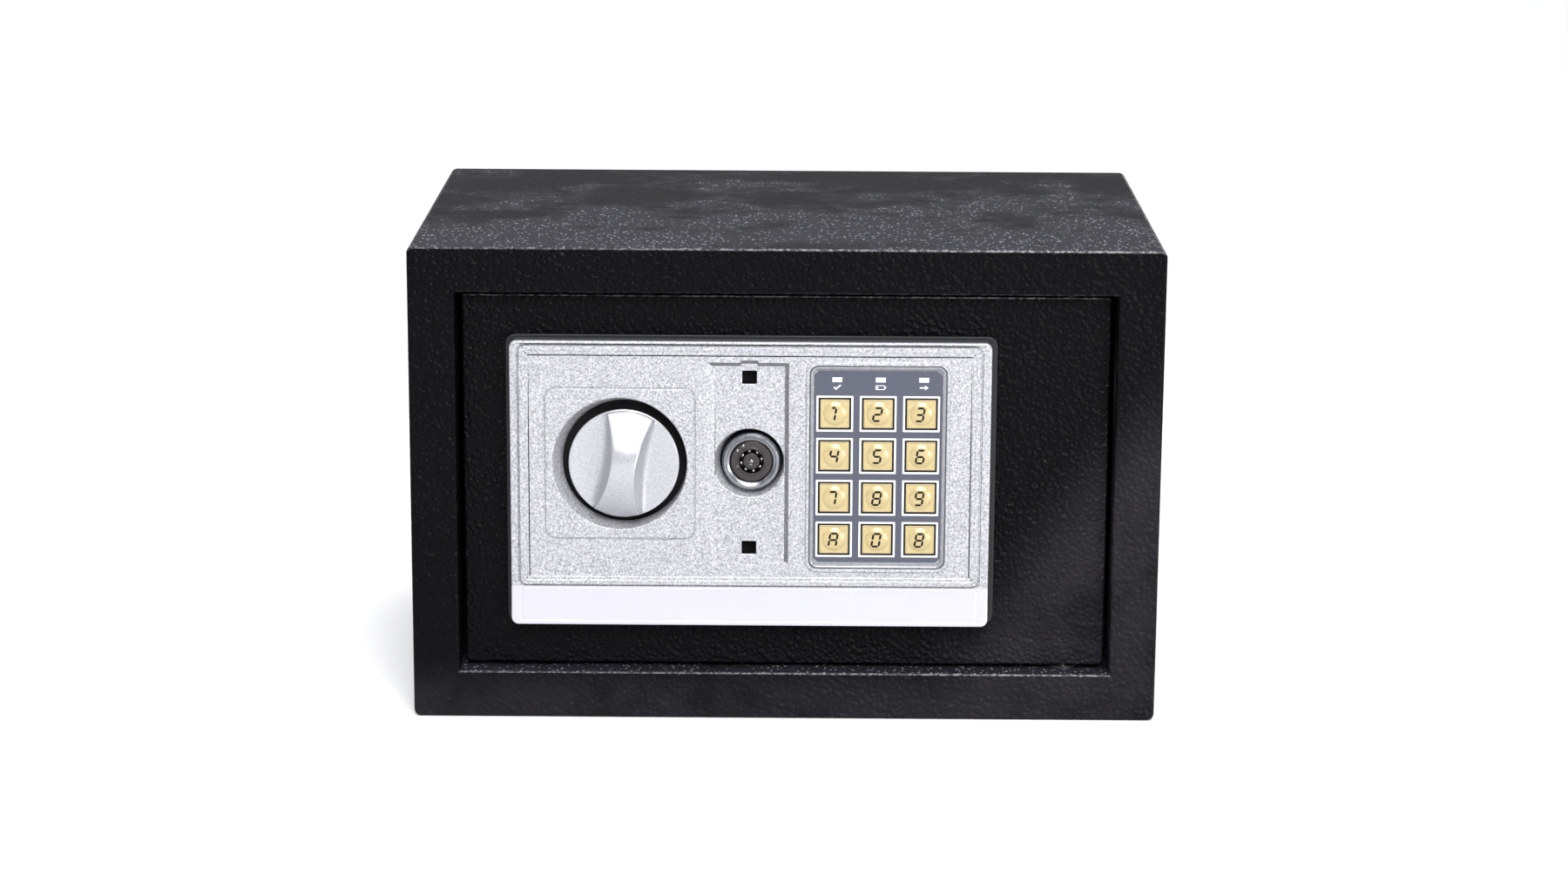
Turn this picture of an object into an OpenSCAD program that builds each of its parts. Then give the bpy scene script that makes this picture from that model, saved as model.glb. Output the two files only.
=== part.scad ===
// Small electronic safe: folded steel cabinet, recessed door on hidden pivots, moulded control
// panel with a turn knob, a tubular override lock and a twelve-key pad.
// Frame: X to the right, Y from the front to the back, Z up, origin under the cabinet's centre.
// "Depth" is measured from the cabinet's front face towards the back.

/* [Cabinet] */
// Width of the cabinet
cabinet_w = 310; // [300:1:360]
// Height of the cabinet
cabinet_h = 200; // [196:1:260]
// Depth of the cabinet
cabinet_d = 200; // [180:1:300]
// Thickness of the folded steel sheet
sheet = 1.5; // [1:0.1:2]
// Diameter of the anchor holes in the floor and the back
anchor_hole_d = 12; // [8:0.5:14]
// Distance between the two anchor holes of each pair
anchor_pitch = 180; // [120:1:220]

/* [Door] */
// Thickness of the door plate
door_t = 4; // [3:0.5:5]
// How far the door plate sits behind the cabinet's front face
door_recess = 8; // [6:0.5:9]
// Gap between the door plate and the frame on every side
door_gap = 2; // [1.5:0.1:3]
// Diameter of the hinge pins
hinge_pin_d = 6; // [4:0.5:6]

/* [Locking] */
// Diameter of the locking bolts
bolt_d = 14; // [10:0.5:14]
// How far the locking bolts are thrown
bolt_throw = 14; // [10:0.5:14]
// Angle that the knob turns to throw the bolts
knob_turn = 90; // [60:5:90]
// Angle of the knob's grip from upright at rest, clockwise from the front
knob_lean = 8; // [0:1:20]

/* [Keypad] */
// Distance between the centres of neighbouring keys
key_pitch = 17.8; // [17:0.1:18]
// Width of a square key
key_w = 12; // [10:0.1:12.4]
// How far a key travels
key_travel = 0.6; // [0.3:0.1:0.6]

/* [Hidden] */
$fn = 72;
corner_steps = 6;         // flats in each quarter-round corner of a rounded rectangle
hull_fn = 40;             // sides of the discs that a tapered pocket is blended from
skin = 0.05;              // running clearance of a pin or bolt in its hole
front = -cabinet_d / 2;   // Y of the cabinet's front face

// cabinet opening
border_side = 19.5;
border_foot = 20;
border_head = 19;
open_x = cabinet_w / 2 - border_side;
open_z0 = border_foot;
open_z1 = cabinet_h - border_head;
open_mid = (open_z0 + open_z1) / 2;
return_side = 13;         // depth of the folded returns left and right of the opening
return_head = 24;         // depth of the folded returns above and below the opening
edge_r = 3;               // outer corner radius of the cabinet
back_depth = cabinet_d - sheet;
anchor_depth = 112;       // depth of the floor's anchor holes
back_anchor_z = 100;
mat_t = 2;

// door plate and its pivot
door_x = open_x - door_gap;
door_z0 = open_z0 + door_gap;
door_z1 = open_z1 - door_gap;
door_back = door_recess + door_t;
pivot_inset = 17;         // pivot axis in from the door plate's right edge
pivot_x = door_x - pivot_inset;
pivot_depth = door_back + 0.2 + hinge_pin_d / 2;
lug_h = 10;
bush_flange_t = 1;
bush_wall = 2;

// control panel
panel_x0 = -113.6;
panel_x1 = 84.4;
panel_z0 = 41;
panel_z1 = 161.2;
panel_back = door_recess - 1.5;
band_depth = 0;           // outer band of the panel
plate_depth = -1.2;       // raised middle of the panel
face_depth = -0.8;        // recessed face inside the raised lip
cavity_depth = 3.2;       // where the hollow behind the face starts
strip_z = 58.2;           // top of the sloping strip along the foot
strip_lift = 2;           // how far the strip's foot comes forward
raised_x0 = -109.6;
raised_x1 = 80;
raised_z1 = 159.2;
lip_w = 3.2;
panel_skin = 2.2;
base_margin = 1.5;

// knob
knob_x = -66.6;
knob_z = 110;
knob_r = 23;
knob_back = 5.8;
knob_face = -1;
grip_top = -12.5;          // depth of the grip's crest
grip_foot = -1.5;         // depth of the grip's crest at the knob's rim
grip_waist = 11;
grip_end = 18.6;
shaft_r = 4;
shaft_tip = -6;
clip_t = 0.8;
pocket_x = -68.4;
pocket_z = 109.6;
pocket_r = 27.6;
pocket_floor_r = 24.8;

// bolt work behind the door plate
bolt_r = bolt_d / 2;
bolt_spread = 80;         // distance between the two bolts
bolt_z = [knob_z - bolt_spread / 2, knob_z + bolt_spread / 2];
bolt_depth = door_back + 10;
bolt_tip_x = -door_x + 0.5;
bolt_tail_x = -74;
guide_x0 = -129;
guide_x1 = -111;
guide_z0 = bolt_z[0] - bolt_r - 5;
guide_z1 = bolt_z[1] + bolt_r + 2.5;
carriage_t = 2;
carriage_depth = door_back + 7.5;
carriage_x1 = -31;
carriage_step_x = -50;
ledge_z = 130;
tab_half = 9;
tab_t = 2;
crank_r = bolt_throw / 2 / sin(knob_turn / 2);
crank_depth = door_back + 2.5;
crank_t = 3;
crank_pin_r = 2.5;
crank_play = 0.5;
crank_x = knob_x + crank_r * sin(knob_turn / 2);
crank_z = knob_z + crank_r * cos(knob_turn / 2);
stud_x = -56;
stud_z = [76, 100];
stud_r = 2.5;
stud_seat_r = 4;

// override lock
lock_x = -14.1;
lock_z = 110.8;
lock_head_r = 12;
lock_body_r = 9.5;
lock_plug_r = 8.7;
lock_core_r = 6.6;
lock_face = -0.5;
plug_face = 0.6;
lock_body_end = 28;
keyway_r = 5.15;
keypost_r = 3.45;
keyway_deep = 6;
cam_depth = 28.5;
cam_t = 2.5;
cam_reach = 25;
cam_angle = 234;
lock_rim_x = -15;
lock_rim_z = 109.6;
lock_rim_r = 14.8;
lock_rim_floor_r = 12.9;

// recessed channel round the override lock
channel_x0 = -32;
channel_x1 = 1.2;
channel_z0 = 68;
channel_z1 = 152.6;
channel_depth = 0.8;
slot_x = -15;
slot_z = [73.9, 146.2];
slot_w = 6;
slot_h = 5.6;

// keypad
pad_x = 37.9;
pad_top_z = 131.4;        // centre height of the top row
pad_z0 = 65.6;
pad_z1 = 151.6;
pad_half_w = 28.1;
pad_floor = 1.2;
pad_rim = 1.3;
pad_rim_depth = -1.5;
frame_face = 0.2;
overlay_face = -0.1;
overlay_half_w = 26.2;
overlay_z0 = 68.3;
overlay_z1 = 149.4;
aperture_w = 13.3;
dome_r = 4.8;
dome_h = 0.9;
key_back = 1.7;
switch_w = 6;
switch_face = key_back + key_travel;
board_depth = 3.9;
board_t = 1.6;
lamp_z = 145.7;
lamp_w = 4.2;
lamp_h = 2.1;
cable_x = 38;
cable_z = 105;
cable_hole_r = 6;

// solenoid
sol_x = -37;
sol_depth = bolt_depth - 1.5;
sol_z0 = 143;
sol_z1 = 167;
sol_plate = 1.5;
coil_r = 7.5;
plunger_r = 3;
plunger_z0 = 137;
collar_z = 139;
lift_pin_r = 1.5;

// inner cover, battery tray and reset button
cover_t = 1.2;
cover_x0 = -131.2;
cover_x1 = 104;
cover_z0 = 30;
cover_z1 = 171;
cover_back = door_back + 40;
post_r = 4;
post_at = [[-118, 37], [-118, 165], [97, 37], [97, 165]];
tray_x0 = 29;
tray_x1 = 89;
tray_z0 = 43;
tray_z1 = 109;
tray_front = 32;
tray_wall = 1.5;
tray_flange = 3;
cell_r = 7.1;
cell_len = 50;
cell_pitch = (tray_z1 - tray_z0 - 2 * tray_wall) / 4;
reset_x = 92;
reset_z = 140;
reset_r = 3.5;
reset_travel = 2;
reset_front = cover_back - 12;
reset_seat = cover_back - cover_t - 1.5;

panel_screw_at = [[-106, 50], [-106, 153], [77, 50], [77, 153]];
panel_screw_r = 2;

keys = ["key_1", "key_2", "key_3", "key_4", "key_5", "key_6",
        "key_7", "key_8", "key_9", "key_a", "key_0", "key_b"];

// ---- shared shapes -------------------------------------------------------------------------

// Points of a quarter circle that starts at the angle "from".
function quarter(cx, cz, r, from) =
    [for (k = [0 : corner_steps]) [cx + r * cos(from + 90 * k / corner_steps),
                                   cz + r * sin(from + 90 * k / corner_steps)]];

// Rounded rectangle given by two corners.
module round_rect(x0, z0, x1, z1, r) {
    polygon(concat(quarter(x1 - r, z1 - r, r, 0), quarter(x0 + r, z1 - r, r, 90),
                   quarter(x0 + r, z0 + r, r, 180), quarter(x1 - r, z0 + r, r, 270)));
}

module rect(x0, z0, x1, z1) {
    translate([x0, z0]) square([x1 - x0, z1 - z0]);
}

// A drawing in X and Z, made solid between two depths.
module slab(d0, d1) {
    translate([0, front + d1, 0]) rotate([90, 0, 0]) linear_extrude(d1 - d0) children();
}

// A round bar that runs from front to back.
module bar(x, z, r, d0, d1) {
    slab(d0, d1) translate([x, z]) circle(r);
}

// A cone that runs from front to back.
module cone(x, z, r_front, r_back, d0, d1) {
    translate([x, front + d1, z]) rotate([90, 0, 0]) cylinder(h = d1 - d0, r1 = r_back, r2 = r_front);
}

// A round bar that stands up.
module post(x, depth, r, z0, z1) {
    translate([x, front + depth, z0]) cylinder(h = z1 - z0, r = r);
}

// A round bar that lies from left to right.
module rod(x0, x1, depth, z, r) {
    translate([x0, front + depth, z]) rotate([0, 90, 0]) cylinder(h = x1 - x0, r = r);
}

// A pocket that tapers from one circle to another, set off from it.
module skew_pocket(xa, za, ra, da, xb, zb, rb, db) {
    hull() {
        slab(da - 0.1, da) translate([xa, za]) circle(ra, $fn = hull_fn);
        slab(db, db + 0.1) translate([xb, zb]) circle(rb, $fn = hull_fn);
    }
}

// Centre of a key, counted from the top left.
function key_at(n) = [pad_x + (n % 3 - 1) * key_pitch, pad_top_z - floor(n / 3) * key_pitch];

// A square in the drawing, by its centre.
module square_at(p, w, h) {
    translate(p) square([w, h], center = true);
}

// ---- cabinet -------------------------------------------------------------------------------

module cabinet_outline() {
    round_rect(-cabinet_w / 2, 0, cabinet_w / 2, cabinet_h, edge_r);
}

module cabinet_wrap() color("#1b1b1e") difference() {
    slab(sheet, back_depth) cabinet_outline();
    slab(sheet - 1, back_depth + 1)
        round_rect(-cabinet_w / 2 + sheet, sheet, cabinet_w / 2 - sheet, cabinet_h - sheet,
                   edge_r - sheet / 2);
    for (side = [-1, 1]) post(side * anchor_pitch / 2, anchor_depth, anchor_hole_d / 2, -1, sheet + 1);
}

module front_frame() color("#1b1b1e") difference() {
    union() {
        slab(0, sheet) cabinet_outline();
        slab(0, return_side) rect(-open_x - sheet, open_z0 - sheet, open_x + sheet, open_z1 + sheet);
        for (z = [open_z0 - sheet, open_z1])
            slab(0, return_head) rect(-open_x - sheet, z, open_x + sheet, z + sheet);
    }
    slab(-1, return_head + 1) rect(-open_x, open_z0, open_x, open_z1);
    for (z = [open_z0 - sheet - 1, open_z1 - 1])
        post(pivot_x, pivot_depth, hinge_pin_d / 2 + bush_wall, z, z + sheet + 2);
}

module back_panel() color("#1b1b1e") difference() {
    slab(back_depth, cabinet_d) cabinet_outline();
    for (side = [-1, 1])
        bar(side * anchor_pitch / 2, back_anchor_z, anchor_hole_d / 2, back_depth - 1, cabinet_d + 1);
}

// Flanged nylon bush in the frame's return; "up" is 1 for the upper one.
module pivot_bush(z_face, up) {
    body_end = z_face + up * (sheet + 1.5);
    flange_end = z_face - up * bush_flange_t;
    difference() {
        union() {
            post(pivot_x, pivot_depth, hinge_pin_d / 2 + bush_wall, min(z_face, body_end), max(z_face, body_end));
            post(pivot_x, pivot_depth, hinge_pin_d / 2 + bush_wall + 1.5,
                 min(z_face, flange_end), max(z_face, flange_end));
        }
        post(pivot_x, pivot_depth, hinge_pin_d / 2 + skin, min(body_end, flange_end) - 1,
             max(body_end, flange_end) + 1);
    }
}

module pivot_bushes() color("#e8e4da") {
    pivot_bush(open_z1, 1);
    pivot_bush(open_z0, -1);
}

module floor_mat() color("#3a3a3f") difference() {
    translate([-cabinet_w / 2 + 5, front + return_head + 2, sheet])
        cube([cabinet_w - 10, cabinet_d - return_head - 6, mat_t]);
    for (side = [-1, 1])
        post(side * anchor_pitch / 2, anchor_depth, anchor_hole_d / 2 + 3, 0, sheet + mat_t + 1);
}

// ---- door ----------------------------------------------------------------------------------

module door_plate() color("#1b1b1e") difference() {
    slab(door_recess, door_back) round_rect(-door_x, door_z0, door_x, door_z1, 2);
    bar(knob_x, knob_z, shaft_r + 2.5, door_recess - 1, door_back + 1);
    bar(lock_x, lock_z, lock_body_r + 0.1, door_recess - 1, door_back + 1);
    bar(cable_x, cable_z, cable_hole_r, door_recess - 1, door_back + 1);
    for (p = panel_screw_at) bar(p[0], p[1], panel_screw_r, door_recess - 1, door_back + 1);
}

// Lugs welded behind the plate, which carry the pins.
module hinge_lugs() color("#1b1b1e")
    for (z = [door_z0 + 3, door_z1 - 3 - lug_h]) difference() {
        slab(door_back, door_back + 9) rect(pivot_x - 8, z, pivot_x + 8, z + lug_h);
        post(pivot_x, pivot_depth, hinge_pin_d / 2, z - 1, z + lug_h + 1);
    }

module hinge_pins() color("silver") {
    post(pivot_x, pivot_depth, hinge_pin_d / 2, open_z1 - 18, open_z1 + 4.5);
    post(pivot_x, pivot_depth, hinge_pin_d / 2, open_z0 - 4.5, open_z0 + 18);
}

module bolt_guide() color("silver") difference() {
    union() {
        slab(door_back, door_back + 2) rect(guide_x0, guide_z0, guide_x1, guide_z1);
        slab(door_back, door_back + 20) rect(guide_x0, guide_z0, guide_x0 + 2, guide_z1);
    }
    for (z = bolt_z) rod(guide_x0 - 2, guide_x0 + 4, bolt_depth, z, bolt_r + skin);
}

module inner_cover() color("#222225") difference() {
    slab(door_back, cover_back) rect(cover_x0, cover_z0, cover_x1, cover_z1);
    slab(door_back - 1, cover_back - cover_t)
        rect(cover_x0 + cover_t, cover_z0 + cover_t, cover_x1 - cover_t, cover_z1 - cover_t);
    for (z = bolt_z) rod(cover_x0 - 1, cover_x0 + cover_t + 1, bolt_depth, z, bolt_r + 0.6);
    slab(cover_back - cover_t - 1, cover_back + 1)
        rect(tray_x0 - 0.7, tray_z0 - 0.7, tray_x1 + 0.7, tray_z1 + 0.7);
    bar(reset_x, reset_z, reset_r + 0.3, cover_back - cover_t - 1, cover_back + 1);
    for (p = post_at) bar(p[0], p[1], 2, cover_back - cover_t - 1, cover_back + 1);
}

module cover_posts() color("silver") for (p = post_at) difference() {
    bar(p[0], p[1], post_r, door_back, cover_back - cover_t);
    bar(p[0], p[1], 2, cover_back - 12, cover_back);
}

// Pan-head screw whose head bears on the depth "seat" and whose shank runs to "tip".
module screw(x, z, r, seat, tip, head_r, head_h) {
    away = seat > tip ? 1 : -1;
    head_end = seat + away * head_h;
    difference() {
        union() {
            bar(x, z, r, min(seat, tip), max(seat, tip));
            bar(x, z, head_r, min(seat, head_end), max(seat, head_end));
        }
        for (turn = [0, 90]) slab(min(head_end, head_end - away), max(head_end, head_end - away))
            translate([x, z]) rotate(turn) square([head_r * 1.2, head_r * 0.3], center = true);
    }
}

module cover_screws() color("silver")
    for (p = post_at) screw(p[0], p[1], 2, cover_back, cover_back - 9, 4, 2.4);

// ---- control panel -------------------------------------------------------------------------

module panel_base() color("#232327") difference() {
    slab(panel_back, door_recess)
        round_rect(panel_x0 - base_margin, panel_z0 - 1, panel_x1 + base_margin, panel_z1 + 1.2, 4);
    bar(knob_x, knob_z, 8, panel_back - 1, door_recess + 1);
    bar(lock_x, lock_z, lock_head_r + 0.2, panel_back - 1, door_recess + 1);
    bar(cable_x, cable_z, cable_hole_r + 2, panel_back - 1, door_recess + 1);
    for (p = panel_screw_at) bar(p[0], p[1], panel_screw_r, panel_back - 1, door_recess + 1);
}

// Foot strip: a wedge that leans forward towards its lower edge.
module panel_strip() {
    translate([panel_x0, 0, 0]) rotate([90, 0, 90]) linear_extrude(panel_x1 - panel_x0)
        polygon([[front + panel_back, panel_z0], [front + band_depth - strip_lift, panel_z0],
                 [front + band_depth, strip_z], [front + panel_back, strip_z]]);
}

module panel_hollow() difference() {
    slab(cavity_depth, panel_back + 1)
        rect(panel_x0 + panel_skin, panel_z0 + panel_skin, panel_x1 - panel_skin, panel_z1 - panel_skin);
    bar(pocket_x, pocket_z, pocket_r + 1.6, cavity_depth - 1, panel_back + 2);
    bar(lock_rim_x, lock_rim_z, lock_rim_r + 1.6, cavity_depth - 1, panel_back + 2);
    for (p = panel_screw_at) bar(p[0], p[1], 4.5, cavity_depth - 1, panel_back + 2);
    for (side = [-1, 1]) for (z = [pad_z0 - 1, pad_z1])
        slab(cavity_depth - 1, board_depth) square_at([pad_x + side * 27.1, z], 3.6, 3.6);
}

module control_panel() color("#d4d4da") difference() {
    union() {
        intersection() {
            union() {
                slab(band_depth, panel_back) rect(panel_x0, strip_z - 1, panel_x1, panel_z1);
                panel_strip();
            }
            slab(band_depth - strip_lift - 1, panel_back)
                round_rect(panel_x0, panel_z0, panel_x1, panel_z1, 3);
        }
        difference() {
            slab(plate_depth, panel_back) round_rect(raised_x0, strip_z, raised_x1, raised_z1, 2.5);
            slab(plate_depth - 1, face_depth)
                round_rect(raised_x0 + lip_w, strip_z + lip_w, raised_x1 - lip_w, raised_z1 - lip_w, 1.5);
        }
        slab(face_depth - 0.35, cavity_depth)
            round_rect(pocket_x - 31, pocket_z - 32, pocket_x + 31, pocket_z + 32, 4.5);
        slab(pad_rim_depth, cavity_depth)
            round_rect(pad_x - pad_half_w - pad_rim, pad_z0 - pad_rim,
                       pad_x + pad_half_w + pad_rim, pad_z1 + pad_rim, 4.5);
    }
    slab(plate_depth - 1, channel_depth) {
        rect(channel_x0, channel_z0, channel_x1, channel_z1);
        for (z = [channel_z0 + 1, channel_z1 - 1]) square_at([slot_x, z], 7, 4);
    }
    for (z = slot_z) slab(channel_depth - 1, cavity_depth + 1) square_at([slot_x, z], slot_w, slot_h);
    skew_pocket(pocket_x, pocket_z, pocket_r, face_depth - 0.4, knob_x, knob_z, pocket_floor_r, panel_back);
    skew_pocket(lock_rim_x, lock_rim_z, lock_rim_r, channel_depth, lock_x, lock_z, lock_rim_floor_r, panel_back);
    slab(pad_rim_depth - 1, pad_floor)
        round_rect(pad_x - pad_half_w, pad_z0, pad_x + pad_half_w, pad_z1, 3.5);
    slab(pad_floor - 1, cavity_depth + 1)
        rect(pad_x - pad_half_w + 3, pad_z0 + 4, pad_x + pad_half_w - 3, pad_z1 - 2.5);
    panel_hollow();
    for (p = panel_screw_at) bar(p[0], p[1], panel_screw_r, cavity_depth, panel_back + 1);
}

module panel_screws() color("silver")
    for (p = panel_screw_at) screw(p[0], p[1], panel_screw_r, door_back, cavity_depth, 3.6, 2.2);

module lamp_windows(w, h) for (n = [0 : 2]) square_at([key_at(n)[0], lamp_z], w, h);

module key_windows(w) for (n = [0 : len(keys) - 1]) square_at(key_at(n), w, w);

module keypad_frame() color("#b9bac4") slab(frame_face, pad_floor) difference() {
    round_rect(pad_x - pad_half_w + 0.15, pad_z0 + 0.15, pad_x + pad_half_w - 0.15, pad_z1 - 0.15, 3.4);
    key_windows(aperture_w);
    lamp_windows(lamp_w + 0.2, lamp_h + 0.2);
}

module keypad_overlay() color("#4c5166") slab(overlay_face, frame_face) difference() {
    round_rect(pad_x - overlay_half_w, overlay_z0, pad_x + overlay_half_w, overlay_z1, 2.5);
    key_windows(aperture_w);
    lamp_windows(lamp_w + 0.2, lamp_h + 0.2);
}

module indicator_lamps() color("#f4f6fb") slab(overlay_face - 0.02, board_depth) lamp_windows(lamp_w, lamp_h);

module key(n) color("#e6cf8e") {
    slab(overlay_face, key_back) square_at(key_at(n), key_w, key_w);
    ball_r = (dome_r * dome_r + dome_h * dome_h) / (2 * dome_h);
    intersection() {
        translate([key_at(n)[0], front + overlay_face - dome_h + ball_r, key_at(n)[1]]) sphere(ball_r);
        slab(overlay_face - dome_h - 0.5, overlay_face + 0.5) translate(key_at(n)) circle(dome_r + 0.1);
    }
}

module keypad_board() color("#2f6b3f") difference() {
    slab(board_depth, board_depth + board_t) rect(pad_x - 29, pad_z0 - 3, pad_x + 29, pad_z1 + 2);
    bar(cable_x, cable_z - 9, 1.5, board_depth - 1, board_depth + board_t + 1);
}

module key_switches() color("#2b2b2e") for (n = [0 : len(keys) - 1]) {
    slab(switch_face + 0.5, board_depth) square_at(key_at(n), switch_w, switch_w);
    bar(key_at(n)[0], key_at(n)[1], 1.7, switch_face, switch_face + 0.5);
}

module cable_grommet() color("#202020") difference() {
    union() {
        bar(cable_x, cable_z, cable_hole_r, door_recess, door_back);
        bar(cable_x, cable_z, cable_hole_r + 1.8, door_back, door_back + 1.5);
    }
    bar(cable_x, cable_z, 3.5, door_recess - 1, door_back + 3);
}

// ---- wiring --------------------------------------------------------------------------------

lead_r = 1.1;
lead_sides = 8;
battery_route = [[38, 5.5, 106.5], [38, 13, 106.5], [38.6, 17, 107.3], [41, 22, 110],
                 [45, 27, 112.6], [49, 32, 114.2], [52, 36.5, 113.8], [53, 39, 111.5], [53, 39, 109]];
solenoid_route = [[36.6, 5.5, 104.2], [36.6, 13, 104.2], [34.8, 18, 106], [30, 22, 113],
                  [22, 24, 124], [12, 24, 134], [2, 23.5, 142], [-8, 22.5, 148], [-16, 21.2, 152],
                  [-23, 20.5, 154], [-29.5, 20.5, 154]];
reset_route = [[39.4, 5.5, 104.2], [39.4, 13, 104.2], [42, 17, 104.4], [50, 20.5, 108],
               [62, 25, 119], [73, 29, 129], [83, 32, 136], [90, 35, 139.4], [92, 37.5, 140],
               [92, 40, 140]];

function unit(v) = v / norm(v);

// Direction of a route at a point, from its neighbours.
function heading(route, k) =
    unit(route[min(k + 1, len(route) - 1)] - route[max(k - 1, 0)]);

// One ring of a lead's wall, square to the route; the side vector stays level where it can.
function ring(route, k) =
    let (along = heading(route, k),
         side = unit(cross(along, [0.15, 0.1, 1])),
         up = cross(side, along))
    [for (s = [0 : lead_sides - 1])
        let (a = 360 * s / lead_sides)
        [route[k][0], front + route[k][1], route[k][2]] + lead_r * (cos(a) * side + sin(a) * up)];

// A lead along a route whose points are X, depth and Z.
module lead(route) {
    rings = len(route);
    last = (rings - 1) * lead_sides;
    polyhedron(
        points = [for (k = [0 : rings - 1]) each ring(route, k)],
        faces = concat(
            [[for (s = [0 : lead_sides - 1]) s]],
            [for (k = [0 : rings - 2]) for (s = [0 : lead_sides - 1])
                let (next = (s + 1) % lead_sides)
                [k * lead_sides + next, k * lead_sides + s,
                 (k + 1) * lead_sides + s, (k + 1) * lead_sides + next]],
            [[for (s = [lead_sides - 1 : -1 : 0]) last + s]]));
}

module wiring_harness() color("#8a1f1f") {
    lead(battery_route);
    lead(solenoid_route);
    lead(reset_route);
}

// ---- knob and bolt work --------------------------------------------------------------------

// Everything that turns with the knob is drawn upright and leans by the knob's rest angle.
module about_knob(angle) {
    translate([knob_x, 0, knob_z]) rotate([0, angle, 0]) translate([-knob_x, 0, -knob_z]) children();
}

// The grip's outline: waisted between two large arcs.
module grip_outline() {
    half = knob_r * cos(24);
    sag = (grip_end - grip_waist) / 2;
    arc_r = (half * half + sag * sag) / (2 * sag);
    difference() {
        intersection() {
            translate([knob_x, knob_z]) circle(knob_r);
            square_at([knob_x, knob_z], 2 * knob_r, 2 * knob_r);
        }
        for (side = [-1, 1])
            translate([knob_x + side * (grip_waist / 2 + arc_r), knob_z]) circle(arc_r, $fn = 180);
    }
}

module knob() color("#cfd0d6") about_knob(knob_lean) {
    crest = grip_foot - grip_top;
    crest_r = (knob_r * knob_r + crest * crest) / (2 * crest);
    difference() {
        union() {
            difference() {
                bar(knob_x, knob_z, knob_r, knob_face, knob_back);
                for (side = [-1, 1])
                    post(knob_x + side * 11, knob_face - 17.5, 20, knob_z - 30, knob_z + 30);
            }
            intersection() {
                slab(grip_top - 1, knob_back) grip_outline();
                rod(knob_x - 20, knob_x + 20, grip_top + crest_r, knob_z, crest_r);
            }
        }
        bar(knob_x, knob_z, shaft_r, shaft_tip, knob_back + 1);
    }
}

module knob_shaft() color("silver") difference() {
    bar(knob_x, knob_z, shaft_r, shaft_tip, crank_depth + crank_t);
    difference() {
        bar(knob_x, knob_z, shaft_r + 1, door_back + 1.6, door_back + 1.6 + clip_t);
        bar(knob_x, knob_z, shaft_r - 0.6, door_back, door_back + 4);
    }
}

module knob_bush() color("#c9a85a") difference() {
    union() {
        bar(knob_x, knob_z, shaft_r + 2.5, door_recess, door_back);
        bar(knob_x, knob_z, shaft_r + 5, door_back, door_back + 1.5);
    }
    bar(knob_x, knob_z, shaft_r + skin, door_recess - 1, door_back + 3);
}

// Retaining clip, open on one side.
module clip(x, z, r_in, r_out, d0, d1) difference() {
    bar(x, z, r_out, d0, d1);
    bar(x, z, r_in, d0 - 1, d1 + 1);
    slab(d0 - 1, d1 + 1) rect(x - r_in * 0.8, z - r_out - 1, x + r_in * 0.8, z);
}

module shaft_clip() color("silver")
    clip(knob_x, knob_z, shaft_r - 0.6, shaft_r + 2.5, door_back + 1.6, door_back + 1.6 + clip_t);

module crank_arm() color("silver") {
    difference() {
        union() {
            bar(knob_x, knob_z, 7, crank_depth, crank_depth + crank_t);
            bar(crank_x, crank_z, 4.5, crank_depth, crank_depth + crank_t);
        }
        bar(knob_x, knob_z, shaft_r, crank_depth - 1, crank_depth + crank_t + 1);
    }
    bar(crank_x, crank_z, crank_pin_r, crank_depth + crank_t, carriage_depth + carriage_t + 1);
}

// Sliding plate that carries both bolts.
module bolt_plate() color("#b9bcc2") {
    slab(carriage_depth, carriage_depth + carriage_t) difference() {
        union() {
            rect(bolt_tail_x + tab_t, bolt_z[0] - tab_half, carriage_step_x, bolt_z[1] + tab_half);
            rect(carriage_step_x, bolt_z[0] - tab_half, carriage_x1, ledge_z);
        }
        for (z = bolt_z) rect(bolt_tail_x, z - 6, bolt_tail_x + 8, z + 6);
        rect(crank_x - crank_pin_r - crank_play, crank_z - crank_pin_r - 2,
             crank_x + crank_pin_r + crank_play, knob_z + crank_r + crank_pin_r + 2);
        for (z = stud_z)
            rect(stud_x - stud_r - 0.4, z - stud_r - 0.1, stud_x + bolt_throw + stud_r + 0.4, z + stud_r + 0.1);
    }
    for (z = bolt_z) difference() {
        slab(bolt_depth - 8.5, bolt_depth + 8.5)
            rect(bolt_tail_x, z - tab_half, bolt_tail_x + tab_t, z + tab_half);
        rod(bolt_tail_x - 1, bolt_tail_x + tab_t + 1, bolt_depth, z, 3);
    }
}

module locking_bolts() color("#d8dade") for (z = bolt_z) difference() {
    union() {
        rod(bolt_tip_x + 1, bolt_tail_x, bolt_depth, z, bolt_r);
        translate([bolt_tip_x, front + bolt_depth, z]) rotate([0, 90, 0])
            cylinder(h = 1, r1 = bolt_r - 1, r2 = bolt_r);
    }
    rod(bolt_tail_x - 12, bolt_tail_x + 1, bolt_depth, z, 3);
}

module bolt_screws() color("silver") for (z = bolt_z) difference() {
    union() {
        rod(bolt_tail_x - 11, bolt_tail_x + tab_t, bolt_depth, z, 3);
        rod(bolt_tail_x + tab_t, bolt_tail_x + tab_t + 3, bolt_depth, z, 5);
    }
    rod(bolt_tail_x + tab_t + 1.5, bolt_tail_x + tab_t + 4, bolt_depth, z, 2.4, $fn = 6);
}

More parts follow.
